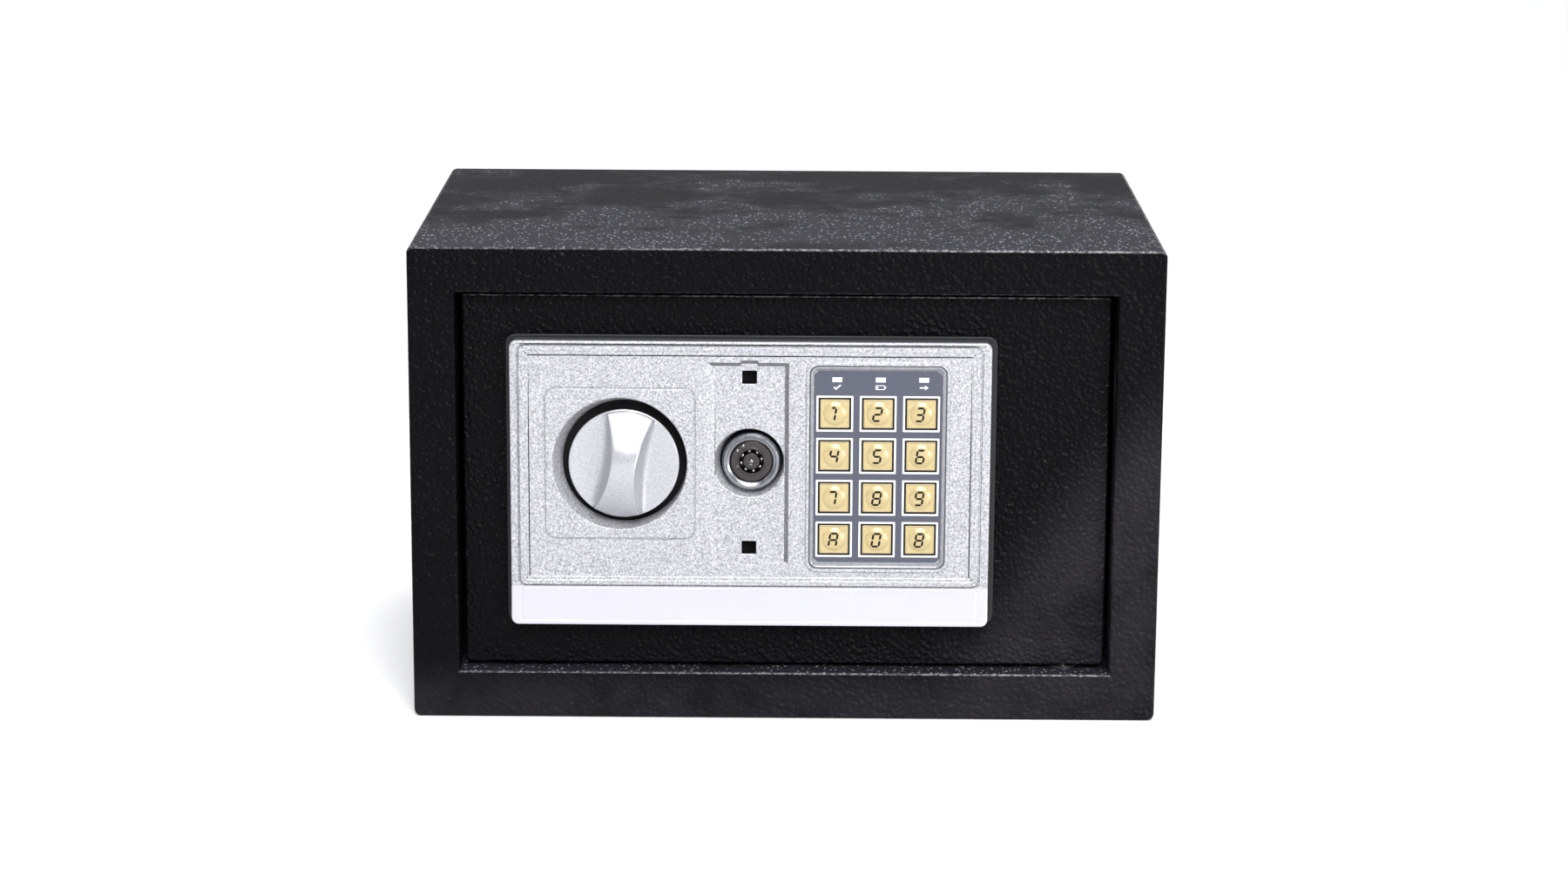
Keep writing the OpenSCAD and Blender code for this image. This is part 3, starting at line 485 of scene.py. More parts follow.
def powder_coat(name, base):
    """Textured powder coat: orange peel, a fine grit, and painted light: pale flecks as glints on
    what faces up, edge highlights, reflection and sheen.
    """
    edge_highlight_colour, reflection_colour, sheen_colour, glint_colour = ((0.2, 0.2, 0.215), (0.0118, 0.011, 0.0135), (0.027, 0.027, 0.035),
                                (0.34, 0.34, 0.37))
    f = Finish(name, base, 0.36, Specular_IOR_Level=0.045)
    patch = f.noise(7, 3)
    peel = f.cells(560, 0.85)
    grit = f.noise(1500, 3, 0.6)
    f.roughen(grit, 0.28, 0.44)
    low = f.bump(f.cells(1150, 0.5), 0.00012, 0.6)
    f.bump(f.times(peel, f.band(patch, 0.35, 0.65, 0.75, 1.15)), 0.00112, 0.8, low)

    # pale flecks on what faces up, painted glints, thicker towards the front
    up = f.axes(f.node("NewGeometry").outputs["Normal"])["Z"]
    place = f.axes()
    cloud = f.noise(26, 4, 0.7)
    where = f.times(cloud, f.band(place["Y"], 0.08, FRONT * MM, -0.09, 0.09), "ADD")
    glint_flecks = f.times(f.band(f.cells(520, 0.0, (1, 0.6, 1)), 0.34, 0.12), f.band(where, 0.44, 0.6))
    glint_flecks = f.times(glint_flecks, f.band(up, 0.55, 0.95, 0.0, 0.5))

    # a painted highlight along rounded edges, broken into glints, stronger on what faces up and
    # towards the right
    toned = f.tone(grit, 0.35, 0.7, 0.8, 1.5)
    tilt = f.times(up, 0.0, "ABSOLUTE")
    edge = f.times(f.band(tilt, 0.22, 0.5), f.band(tilt, 0.98, 0.86))
    glint = f.times(f.band(f.noise(520), 0.42, 0.62, 0.25, 1.0), f.band(up, -0.4, 0.4, 0.12, 1.0))
    glint = f.times(glint, f.band(place["X"], -0.12, 0.14, 0.45, 1.0))
    toned = f.mix(f.times(edge, glint), toned, edge_highlight_colour)

    # painted reflection on the walls to the lower right and along the foot, then a painted sheen on
    # what faces up
    painted_reflection = f.band(f.times(place["X"], f.times(place["Z"], -0.75), "ADD"), 0.03, 0.075)
    painted_reflection = f.times(painted_reflection, f.band(place["Z"], 0.03, 0.004, 0.0, 0.8), "MAXIMUM")
    painted_reflection = f.times(painted_reflection, f.band(cloud, 0.3, 0.6, 0.35, 1.0))
    toned = f.mix(f.times(painted_reflection, f.band(up, 0.3, 0.1)), toned, reflection_colour)
    # painted sheen: what faces up is made lighter, more towards the front
    film = f.times(f.band(where, 0.36, 0.58), f.band(up, 0.6, 0.95))
    film = f.times(film, f.band(grit, 0.4, 0.62, 0.25, 1.0))
    # the pale flecks, painted glints, and the painted sheen go over the coat's colour last
    f.drive("Base Color", f.mix(glint_flecks, f.mix(film, toned, sheen_colour), glint_colour))
    return f.material


def silver_paint(name, base, grain=0.38, rough=0.38, bump=0.00003, metal=0.35):
    """Metallic paint with a visible flake."""
    f = Finish(name, base, rough, metal, Specular_IOR_Level=0.5)
    flake = f.noise(1250, 3, 0.6, turn=(0.5, 0.4, 0.6))
    tone = f.tone(flake, 0.3, 0.72, 1 - grain * 1.4, 1 + grain)
    f.drive("Base Color", f.mix(f.band(f.noise(60), 0.3, 0.7, 0.0, 0.25), tone, shade(base, 0.94)))
    f.roughen(flake, rough - 0.14 * grain, rough + 0.22 * grain)
    if bump:
        f.bump(flake, bump, 0.5)
    return f.material


def moulded(name, base, rough, grain=900, depth=0.00003, strength=0.35, **sockets):
    """Plastic with a fine moulded grain."""
    f = Finish(name, base, rough, **sockets)
    fine = f.noise(grain, 3, 0.6)
    f.drive("Base Color", f.tone(fine, 0.3, 0.7, 0.88, 1.14))
    f.roughen(f.noise(70), rough - 0.05, rough + 0.06)
    f.bump(fine, depth, strength)
    return f.material


def plated(name, base, rough, brush, scale, depth):
    """Plated or brushed metal; brush stretches the grain."""
    f = Finish(name, base, rough, 1.0)
    grain = f.noise(scale, 4, 0.6, brush)
    f.drive("Base Color", f.tone(f.noise(22, 3, 0.6), 0.35, 0.7, 0.86, 1.06))
    f.roughen(grain, rough * 0.75, rough * 1.35)
    f.bump(grain, depth, 0.4)
    return f.material


def printed(name, base, rough, **sockets):
    """Ink on a film, a little uneven."""
    f = Finish(name, base, rough, **sockets)
    f.drive("Base Color", f.tone(f.noise(2400), 0.3, 0.7, 0.93, 1.04))
    f.roughen(f.noise(300), rough - 0.05, rough + 0.06)
    return f.material


def felt_cloth(name, base):
    """Needle felt: short crossed fibres."""
    f = Finish(name, base, 0.95, Specular_IOR_Level=0.1, Sheen_Weight=0.06, Sheen_Roughness=0.5)
    along = f.noise(420, 4, 0.7, (1, 6, 1), 0.6)
    across = f.noise(420, 4, 0.7, (6, 1, 1), 0.6)
    fibre = f.times(along, across, "ADD")
    f.drive("Base Color", f.tone(fibre, 0.8, 1.2, 0.6, 1.7))
    f.bump(fibre, 0.0004, 0.7)
    return f.material


def wound_wire(name, base):
    """Enamelled wire wound round an upright coil, darker between the turns as painted shade and
    lighter on them as painted highlight.
    """
    pitch = 0.0005
    f = Finish(name, base, 0.3, 0.7, Coat_Weight=0.6, Coat_Roughness=0.15)
    wave = f.times(f.times(f.axes()["Z"], math.tau / pitch), 0.0, "SINE")
    # darker in the grooves between turns and lighter on their crowns: painted shade and painted
    # highlight
    f.drive("Base Color", f.tone(wave, -1, 1, 0.4, 1.3))
    f.bump(wave, 0.00012, 0.8)
    return f.material


def cell_jacket(name, base):
    """A battery's printed jacket: plain bands along its length."""
    black = (0.02, 0.02, 0.024)
    f = Finish(name, base, 0.28, 0.4, Coat_Weight=0.5, Coat_Roughness=0.1)
    low, high = span("battery_cells")
    middle = (low.x + high.x) / 2 * MM
    tone = f.mix(f.band(f.axes()["X"], middle + 0.0085, middle + 0.0105), black, base)
    f.drive("Base Color", f.mix(f.band(f.noise(500), 0.3, 0.7, 0.0, 0.3), tone, shade(base, 0.5)))
    f.roughen(f.noise(120), 0.22, 0.34)
    return f.material


def circuit_board(name, base):
    """Solder mask over faint copper tracks."""
    f = Finish(name, base, 0.35)
    tracks = f.band(f.cells(260, 0.0, (1, 1, 2.4), 0.35), 0.34, 0.38)
    f.drive("Base Color", f.mix(tracks, base, shade(base, 1.7)))
    f.bump(tracks, 0.00004, 0.5)
    return f.material


finishes = {}


def make_finishes(settings):
    """Every finish, by the name of its use."""
    c = {key: tuple(getattr(settings, key)) for key in settings.__annotations__}
    finishes.update(
        coat=powder_coat("powder_coat_black", c["coat"]),
        silver=silver_paint("silver_grain_paint", c["silver"]),
        # a darker silver for the channel's right and upper slopes: painted shade
        thin=silver_paint("silver_thin_paint", shade(c["silver"], 0.42), 0.3),
        strip=silver_paint("silver_smooth_paint", c["strip"], 0.02, 0.32, 0, 0.2),
        knob=silver_paint("knob_satin_silver", shade(c["silver"], 1.04), 0.12, 0.3, 0, 0.5),
        moulding=moulded("dark_moulding", c["moulding"], 0.38, 700, 0.00006, 0.5),
        gasket=moulded("base_textured_moulding", (0.006, 0.006, 0.0075), 0.5, 700, 0.00006, 0.5,
                       Specular_IOR_Level=0.3),
        dark=moulded("pocket_shadow_moulding", (0.003, 0.003, 0.0034), 0.7,
                     Specular_IOR_Level=0.15),
        bezel=moulded("bezel_grey", c["bezel"], 0.2, 500, 0.00001, 0.2, Coat_Weight=0.35,
                      Coat_Roughness=0.12, Transmission_Weight=0.12),
        film=moulded("film_slate", c["film"], 0.34, 2600, 0.000012, 0.3),
        gold=silver_paint("key_gold_paint", c["gold"], 0.06, 0.3, 0, 0.25),
        ink=printed("ink_black", c["ink"], 0.45, Specular_IOR_Level=0.15),
        white=printed("ink_white", c["white"], 0.4),
        lens=moulded("lamp_lens_white", (0.52, 0.53, 0.565), 0.15, 300, 0.00001, 0.2,
                     Coat_Weight=0.5, Subsurface_Weight=0.2),
        nickel=plated("satin_nickel", (0.25, 0.255, 0.28), 0.3, (1, 1, 1), 240, 0.000008),
        bolt=plated("bolt_nickel", (0.46, 0.46, 0.48), 0.24, (1, 9, 9), 300, 0.00001),
        zinc=plated("zinc_plate", (0.36, 0.365, 0.37), 0.36, (1, 1, 6), 260, 0.00002),
        plug=plated("plug_dark_steel", (0.066, 0.06, 0.06), 0.34, (1, 1, 1), 900, 0.00001),
        brass=plated("bush_brass", (0.62, 0.42, 0.16), 0.3, (1, 6, 1), 400, 0.000012),
        nylon=moulded("natural_nylon", (0.74, 0.71, 0.62), 0.45, 300, 0.00002, 0.3,
                      Subsurface_Weight=0.15),
        felt=felt_cloth("felt_charcoal", (0.022, 0.022, 0.025)),
        cover=moulded("cover_moulding", (0.016, 0.016, 0.018), 0.48, 900, 0.00008, 0.6),
        board=circuit_board("board_green", (0.012, 0.09, 0.03)),
        switch=moulded("switch_black", (0.012, 0.012, 0.013), 0.4),
        coil=wound_wire("coil_copper", (0.45, 0.14, 0.05)),
        lead=moulded("lead_insulation", (0.30, 0.012, 0.012), 0.42, 700, 0.00002, 0.3),
        rubber=moulded("grommet_rubber", (0.012, 0.012, 0.012), 0.75, 500, 0.00004, 0.5),
        jacket=cell_jacket("cell_jacket", (0.62, 0.36, 0.08)),
        red=moulded("reset_red", (0.45, 0.02, 0.015), 0.3, 500, 0.00002, 0.3),
        floor=printed("stage_floor", c["floor"], 0.8),
    )


def paint(use, *nodes):
    """Gives CAD nodes a finish."""
    for node in nodes:
        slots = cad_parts[node].data.materials
        slots.clear()
        slots.append(finishes[use])


# ---- cabinet ----

class SAFE_OT_cabinet(bpy.types.Operator):
    """Builds the folded cabinet, its frame, its back and the felt mat"""
    bl_idname = "safe.cabinet"
    bl_label = "Cabinet"

    def execute(self, context):
        front = FRONT + 0.05
        back = span("back_panel")[1].y - 0.05
        low, high = span("floor_mat")
        foot, corner_x = 2, 120
        softened("door_frame", "front_frame", 1.35, 4,
                 lambda e: all(v.co.y < front for v in e.verts),
                 "coat", "cabinet")
        softened("cabinet_body", "cabinet_wrap", 0.3, 2,
                 lambda e: e.calc_length() > 0.2 and all(v.co.z < foot for v in e.verts)
                 and abs(e.verts[0].co.x) < corner_x, "coat", "cabinet", 30)
        softened("rear_panel", "back_panel", 0.9, 4, lambda e: all(v.co.y > back for v in e.verts),
                 "coat", "cabinet")
        mat = softened("floor_felt", "floor_mat", 0.5, 3,
                       lambda e: all(v.co.z > high.z - 0.05 for v in e.verts),
                       "felt", "cabinet", 60)
        paint("switch", "pivot_bushes")
        return {"FINISHED"}


# ---- door ----

class SAFE_OT_door(bpy.types.Operator):
    """Builds the door leaf, the dark base of the panel, the inner cover and what they carry"""
    bl_idname = "safe.door"
    bl_label = "Door"

    def execute(self, context):
        low, high = span("door_plate")
        margin = 4
        softened("door_leaf", "door_plate", 1.0, 4,
                 lambda e: all(abs(v.co.x) > high.x - margin or v.co.z < low.z + margin
                               or v.co.z > high.z - margin for v in e.verts),
                 "coat", "door")

        low, high = span("panel_base")
        bm = bmesh.new()
        outline = rectangle(low.x - 0.5, low.z - 0.2, high.x + 1.1, high.z + 0.3, 4)
        front, back = depth_span("panel_base")
        shaft_bore, lock_bore = 8, 12.1
        outer = wall(bm, outline, eased([(-6, front), (0, front), (0, back), (-1, back)], 0.6))
        bores = [wall(bm, circle(*centre(node), r), [(0, front), (0, back)])
                 for node, r in (("knob_shaft", shaft_bore), ("lock_housing", lock_bore))]
        dress([web(bm, outer[0], *[made[0] for made in bores])], 1)
        web(bm, outer[1], *[made[1] for made in bores])
        piece("panel_gasket", bm, "gasket dark", "door", ["panel_base"])

        softened("inner_cover_shell", "inner_cover", 0.9, 3, long_edge(30),
                 "coat", "door")
        softened("bolt_guide_angle", "bolt_guide", 0.5, 2, long_edge(15),
                 "zinc", "door")
        paint("zinc", "hinge_pins", "cover_posts", "cover_screws", "panel_screws",
              "carriage_studs", "stud_clips", "solenoid_frame", "battery_contacts", "lock_nut")
        paint("coat", "hinge_lugs")
        paint("brass", "knob_bush")
        paint("rubber", "cable_grommet")
        paint("lead", "wiring_harness")
        paint("coil", "solenoid_coil")
        paint("cover", "battery_tray")
        paint("jacket", "battery_cells")
        paint("switch", "reset_switch")
        return {"FINISHED"}


# ---- control panel ----

PANEL_FINISHES = "silver moulding strip dark thin"
SILVER, MOULDING, STRIP, DARK, PAINTED_SHADE = range(5)


def funnel(rim_at, rim_r, floor_at, floor_r, rim_d, deep, back):
    """Rings of a round pocket whose wall leans in from an offset rim, then runs straight back."""
    count, steps = 96, 6
    rings = [(circle(*rim_at, rim_r + 0.5, count), rim_d),
             (circle(*rim_at, rim_r + 0.17, count), rim_d + 0.05),
             (circle(*rim_at, rim_r, count), rim_d + 0.22)]
    for k in range(1, steps + 1):
        t = k / steps
        at = tuple(a + (b - a) * t for a, b in zip(rim_at, floor_at))
        rings.append((circle(*at, rim_r + (floor_r - rim_r) * t ** 0.8, count),
                      rim_d + 0.22 + deep * t))
    return rings + [(circle(*floor_at, floor_r, count), back)]


class SAFE_OT_panel(bpy.types.Operator):
    """Builds the moulded silver control panel"""
    bl_idname = "safe.panel"
    bl_label = "Control panel"

    def execute(self, context):
        s = context.scene.safe_panel
        low, high = span("control_panel")
        back = high.y - FRONT
        knob_at, lock_at = centre("knob_shaft"), centre("lock_housing")
        pad_at, (pad_low, pad_high) = centre("keypad_frame"), span("keypad_frame")
        bm = bmesh.new()

        # outer edge: silver over the front rounding, dark moulding behind it
        outline = rectangle(low.x, low.z, high.x, high.z, 3.0)
        edge = wall(bm, outline, eased([(-1.4, 0), (0, 0), (0, 1.5)], 0.8, 4)
                    + [(0, 1.7), (0.1, back - 0.3), (-0.4, back)])
        dress(edge[2], MOULDING, 1.6)

        # raised plate with its groove, lip and sunk face
        plate_at = (low.x + s.band, low.z + s.strip, high.x - s.band - 0.4, high.z - s.head)
        raised = rectangle(*plate_at, 2.5)
        top, face_d = -s.plate_rise, -s.face_rise
        lip = wall(bm, raised, eased(
            [(0.95, 0), (0.7, 0.55), (0.25, 0.55), (0, top), (-s.lip * 0.55, top),
             (-s.lip * 0.62, top + 0.18), (-s.lip, top + 0.18), (-s.lip - 0.3, face_d),
             (-s.lip - 0.8, face_d)], 0.22, 3))

        # thin line pressed into the foot strip
        foot = rectangle(plate_at[0] + 0.2, low.z + 2.0, plate_at[2] - 0.2, plate_at[1] - 1.7, 1.2)
        line = wall(bm, foot, [(0.3, 0), (0.12, 0.16), (-0.12, 0.16), (-0.3, 0)])
        dress([web(bm, line[1])], STRIP)
        web(bm, edge[0], lip[0], line[0])

        # square field round the knob, with the tapered pocket
        pocket_at = (knob_at[0] - 1.7, knob_at[1] - 0.15)
        throat_at = (knob_at[0] + 0.2, knob_at[1] - 0.1)
        pocket_deep, bowl_deep, bowl_r = 6.2, 4.4, 12.95
        field = square(pocket_at, s.pad_half, s.pad_half + 1, 4.5, 6)
        rim_d = face_d - 0.35
        step = wall(bm, field, [(0.32, face_d), (0.2, face_d + 0.34), (-0.2, face_d + 0.34),
                                (-0.42, face_d - 0.25), (-0.62, rim_d), (-0.9, rim_d)])
        pocket = tube(bm, funnel(pocket_at, s.pocket_r, throat_at, s.pocket_floor_r, rim_d,
                                 pocket_deep, back))
        dress(pocket[2][-1:], DARK)

        # channel with its two notches, clip slots and lock pocket
        x0, x1 = lock_at[0] - 17.9, lock_at[0] + 15.3
        z0, z1 = lock_at[1] - 42.8, lock_at[1] + 41.8
        mid, notch, near = lock_at[0] - 0.9, 3.5, 2
        left, right = mid - notch, mid + notch
        channel_outline = rounded(
            [(x0, z0), (left, z0), (left, z0 - 1), (right, z0 - 1), (right, z0), (x1, z0),
             (x1, z1), (right, z1), (right, z1 + 1), (left, z1 + 1), (left, z1), (x0, z1)], 0.45, 3)
        floor_d = s.channel_deep
        drop = floor_d - face_d

        def sloped(x, z, share):
            """A point of the channel's outline, moved down its slope."""
            if x < x0 + near:
                x += s.slope_left * share
            elif x > x1 - near:
                x -= s.slope_right * share
            return (x, z - s.slope_right * share * (z > z1 - 0.8))

        rings = []
        for reach, share, depth in ((0.3, 0, face_d), (0.08, 0, face_d + 0.05),
                                    (0, 0.04, face_d + 0.16), (-0.03, 0.5, face_d + drop * 0.52),
                                    (-0.06, 0.93, floor_d - 0.12), (-0.12, 1, floor_d - 0.03),
                                    (-0.3, 1.05, floor_d)):
            rings.append(([sloped(x, z, share) for x, z in offset(channel_outline, reach)], depth))
        channel = tube(bm, rings)
        # the channel's right and upper slopes take the darker silver: painted shade
        for face in (face for faces in channel[2][1:-1] for face in faces):
            middle = face.calc_center_median()
            if middle.x > x1 - near or middle.z > z1 - near:
                face.material_index = PAINTED_SHADE
        slots = []
        for z in (z0 + 5.9, z1 - 6.4):
            shape = square((mid, z), s.clip_w / 2, s.clip_h / 2, 0.35, 2)
            slots.append(wall(bm, shape, [(0.45, floor_d), (0.12, floor_d + 0.12),
                                          (0, floor_d + 0.35), (0, floor_d + 1.4), (0, back)]))
            dress(slots[-1][2], DARK, floor_d + 0.9)
        rim_at = (lock_at[0] - 0.95, lock_at[1] - 0.7)
        bowl = tube(bm, funnel(rim_at, s.lock_pocket_r, lock_at, bowl_r, floor_d, bowl_deep, back))
        dress(bowl[2][-1:], DARK)

        # lip and recess of the keypad
        half_w, half_h = (pad_high.x - pad_low.x) / 2 + 0.15, (pad_high.z - pad_low.z) / 2 + 0.15
        recess = square(pad_at, half_w, half_h, 3.5, 6)
        pad_floor = depth_span("keypad_frame")[1]
        pad_lip = wall(bm, recess, eased(
            [(2.1, face_d), (1.7, face_d), (1.2, face_d - 0.7), (0.25, face_d - 0.7),
             (0, face_d + 0.2), (0, pad_floor), (-0.6, pad_floor)], 0.25, 3))
        opening = wall(bm, square(pad_at, half_w - 3, half_h - 3, 1.0, 6),
                       [(0, pad_floor), (0, 3.2), (6.5, 3.2), (6.5, back)])

        # flat areas between the features, and the closed back
        web(bm, lip[1], step[0], channel[0], pad_lip[0])
        web(bm, step[1], pocket[0])
        web(bm, channel[1], bowl[0], *[made[0] for made in slots])
        web(bm, pad_lip[1], opening[0])
        rear = web(bm, edge[1], pocket[1], bowl[1], opening[1], *[made[1] for made in slots])
        dress([rear], MOULDING)

        # the foot strip leans forward below a crease
        close_up(bm)
        crease = plate_at[1] - 1.05
        front_only, skin = FRONT + 3, FRONT + 1.2
        for z in (crease, crease - 0.35):
            bmesh.ops.bisect_plane(bm, geom=bm.verts[:] + bm.edges[:] + bm.faces[:], dist=1e-5,
                                   plane_co=(0, 0, z), plane_no=(0, 0, 1))
        reach = crease - low.z
        for v in bm.verts:
            if v.co.z < crease - 0.01 and v.co.y < front_only:
                v.co.y -= s.lean * (crease - v.co.z) / reach
        for face in bm.faces:
            middle = face.calc_center_median()
            if middle.z < crease - 0.1 and middle.y < skin and face.material_index == SILVER:
                face.material_index = STRIP
        piece("control_panel_shell", bm, PANEL_FINISHES, "door",
              ["control_panel"], 48)
        return {"FINISHED"}


# ---- knob ----

class SAFE_OT_knob(bpy.types.Operator):
    """Sculpts the turn knob with its waisted grip and dished disc"""
    bl_idname = "safe.knob"
    bl_label = "Turn knob"

    def execute(self, context):
        s = context.scene.safe_knob
        at = centre("knob_shaft")
        front, back = -1.0, depth_span("knob")[1]
        rim_round, foot_rise, crown_drop, lip_drop, lip_start = 0.5, 0.35, 0.35, 0.22, 0.86
        radius = s.radius - rim_round
        arch = (radius ** 2 + (s.rise - foot_rise) ** 2) / (2 * (s.rise - foot_rise))
        reach = radius * 0.89
        sag = (s.end - s.waist) / 2
        flank = (reach ** 2 + sag ** 2) / (2 * sag)
        columns, rows = 56, 72
        crest_share, flank_share = 0.40, 0.74

        def surface(share, turn):
            """Across and along the grip, each from -1 to 1, to a point on the knob."""
            v = radius * math.sin(turn * math.pi / 2)
            chord = radius * math.cos(turn * math.pi / 2)
            rise = s.rise - arch + math.sqrt(arch ** 2 - v ** 2)
            half = min(s.waist / 2 + flank - math.sqrt(flank ** 2 - v ** 2), chord)
            foot = min(half + 0.8 + 5.4 * (rise / s.rise) ** 0.8, chord)
            a = abs(share)
            dish = lambda u: -s.dish * max(0.0, 1 - (u * u + v * v) / radius ** 2)
            if a <= crest_share:
                t = a / crest_share
                u = half * t
                lip = max(0.0, (t - lip_start) / (1 - lip_start))
                h = rise - crown_drop * t ** 2 - lip_drop * lip ** 2 * min(1, rise)
            elif a <= flank_share:
                t = (a - crest_share) / (flank_share - crest_share)
                u = half + (foot - half) * (0.06 * t + 0.94 * t ** 1.7)
                q = (u - half) / max(foot - half, 1e-6)
                top = rise - crown_drop - lip_drop * min(1, rise)
                h = dish(u) + (top - dish(u)) * (1 - q) ** 3.2
            else:
                t = (a - flank_share) / (1 - flank_share)
                u = foot + (chord - foot) * t
                h = dish(u)
            return math.copysign(u, share), v, max(h, dish(u))

        bm = bmesh.new()
        bmesh.ops.create_grid(bm, x_segments=columns, y_segments=rows, size=1.0)
        for vert in bm.verts:
            u, v, h = surface(vert.co.x, vert.co.y)
            vert.co = (u, FRONT + front - h, v)
        bmesh.ops.remove_doubles(bm, verts=bm.verts, dist=0.002)
        rim = [e for e in bm.edges if e.is_boundary]
        for scale, depth in ((radius + 0.25, 0.08), (radius + 0.42, 0.25), (s.radius, 0.5),
                             (s.radius - 0.4, 1.4), (s.radius - 2.6, back - front - 0.4),
                             (s.radius - 3.0, back - front)):
            rim = only(BMEdge, bmesh.ops.extrude_edge_only(bm, edges=rim))
            for vert in {v for e in rim for v in e.verts}:
                across = Vector((vert.co.x, vert.co.z)).normalized() * scale
                vert.co = (across.x, FRONT + front + depth, across.y)
        web(bm, rim)
        lean = Matrix.Rotation(s.lean, 4, "Y")
        bmesh.ops.transform(bm, matrix=Matrix.Translation((at[0], 0, at[1])) @ lean, verts=bm.verts)
        piece("turn_knob", bm, "knob", "knob", ["knob"], 38)
        paint("zinc", "knob_shaft", "shaft_clip", "crank_arm")
        return {"FINISHED"}


# ---- override lock ----

class SAFE_OT_lock(bpy.types.Operator):
    """Builds the tubular override lock"""
    bl_idname = "safe.override_lock"
    bl_label = "Override lock"

    def execute(self, context):
        at = centre("lock_housing")
        back = depth_span("lock_housing")[1]
        bm = bmesh.new()
        turned(bm, at, eased(
            [(6.7, back), (9.5, back), (9.5, 8.0), (12.0, 8.0), (12.0, 0.7), (11.3, -0.35),
             (10.4, -0.5), (10.1, -0.1), (9.2, 0.35), (8.78, 0.9), (8.78, 7.0), (6.7, 7.0)], 0.18)
            + [(6.7, back)], 96)
        piece("lock_barrel", bm, "nickel", "door", ["lock_housing"], 50)

        face = 0.6
        core_end = depth_span("lock_plug")[1]
        bm = bmesh.new()
        turned(bm, at, eased(
            [(0, face), (1.2, face), (1.5, face - 0.2), (3.15, face - 0.2), (3.45, face + 0.1),
             (3.45, face + 6), (5.15, face + 6), (5.15, face - 0.25), (5.75, face - 0.3),
             (6.0, face), (8.0, face), (8.3, face + 0.05), (8.7, face + 0.45), (8.7, 6.95),
             (6.6, 6.95), (6.6, core_end)], 0.1, 2) + [(0, core_end)], 96)
        piece("lock_face", bm, "plug", "override_plug", ["lock_plug"], 45)

        bm = bmesh.new()

        def pin(angle, reach, root, nose, steps):
            """A small pin with a round nose, at an angle and a distance from the lock's axis."""
            spot = (at[0] + reach * math.cos(angle), at[1] + reach * math.sin(angle))
            profile = [(0, root), (nose[0][0], root)] + nose
            turned(bm, spot, [(r, face + d) for r, d in profile], steps)

        # an index dot and two witness dots, the end of the drive pin and the eight tumbler pins
        for angle, reach in ((200, 5.9), (118, 7.4), (142, 7.3)):
            pin(math.radians(angle), reach, 0.3, [(0.55, -0.08), (0.35, -0.2), (0, -0.24)], 20)
        pin(0, 0, 0.3, [(0.75, -0.1), (0.5, -0.25), (0, -0.28)], 24)
        for k in range(8):
            pin(k * math.tau / 8 + 0.2, 4.3, 6.3, [(0.62, 0.75), (0.4, 0.55), (0, 0.5)], 16)
        piece("lock_pins", bm, "nickel", "override_plug", (), 45)
        paint("zinc", "lock_cam", "cam_screw")
        return {"FINISHED"}


# ---- keypad ----

# Strokes of a seven-stroke digit: a top, b upper right, c lower right, d foot, e lower left,
# f upper left, g middle.
STROKES = {"1": "bch", "2": "abged", "3": "abgcd", "4": "fgbc", "5": "afgcd", "6": "afgedc",
           "7": "abc", "8": "abcdefg", "9": "abcdfg", "0": "abcdef", "a": "abcefg", "b": "abcdefg"}
SHIFTS = {"1": -1.3, "7": -0.9, "3": -0.6, "9": -0.5}


def stroke_outline(which, w, h, thick):
    """One stroke of a digit as a pointed bar, centred on the digit's middle."""
    gap = thick * 0.12
    x, z, t = w / 2 - thick / 2, h / 2 - thick / 2, thick / 2
    level = {"a": z, "g": 0.0, "d": -z}
    if which == "h":
        return [(-x * 0.15, z - t), (x - t - gap, z - t), (x - gap, z), (x - t - gap, z + t),
                (-x * 0.15, z + t)]
    if which in level:
        y = level[which]
        return [(-x + gap, y), (-x + t + gap, y - t), (0, y - t), (x - t - gap, y - t),
                (x - gap, y), (x - t - gap, y + t), (0, y + t), (-x + t + gap, y + t)]
    side = x if which in "bc" else -x
    low, high = (0.0, z) if which in "bf" else (-z, 0.0)
    mid = (low + high) / 2
    return [(side, low + gap), (side + t, low + t + gap), (side + t, mid),
            (side + t, high - t - gap), (side, high - gap), (side - t, high - t - gap),
            (side - t, mid), (side - t, low + t + gap)]


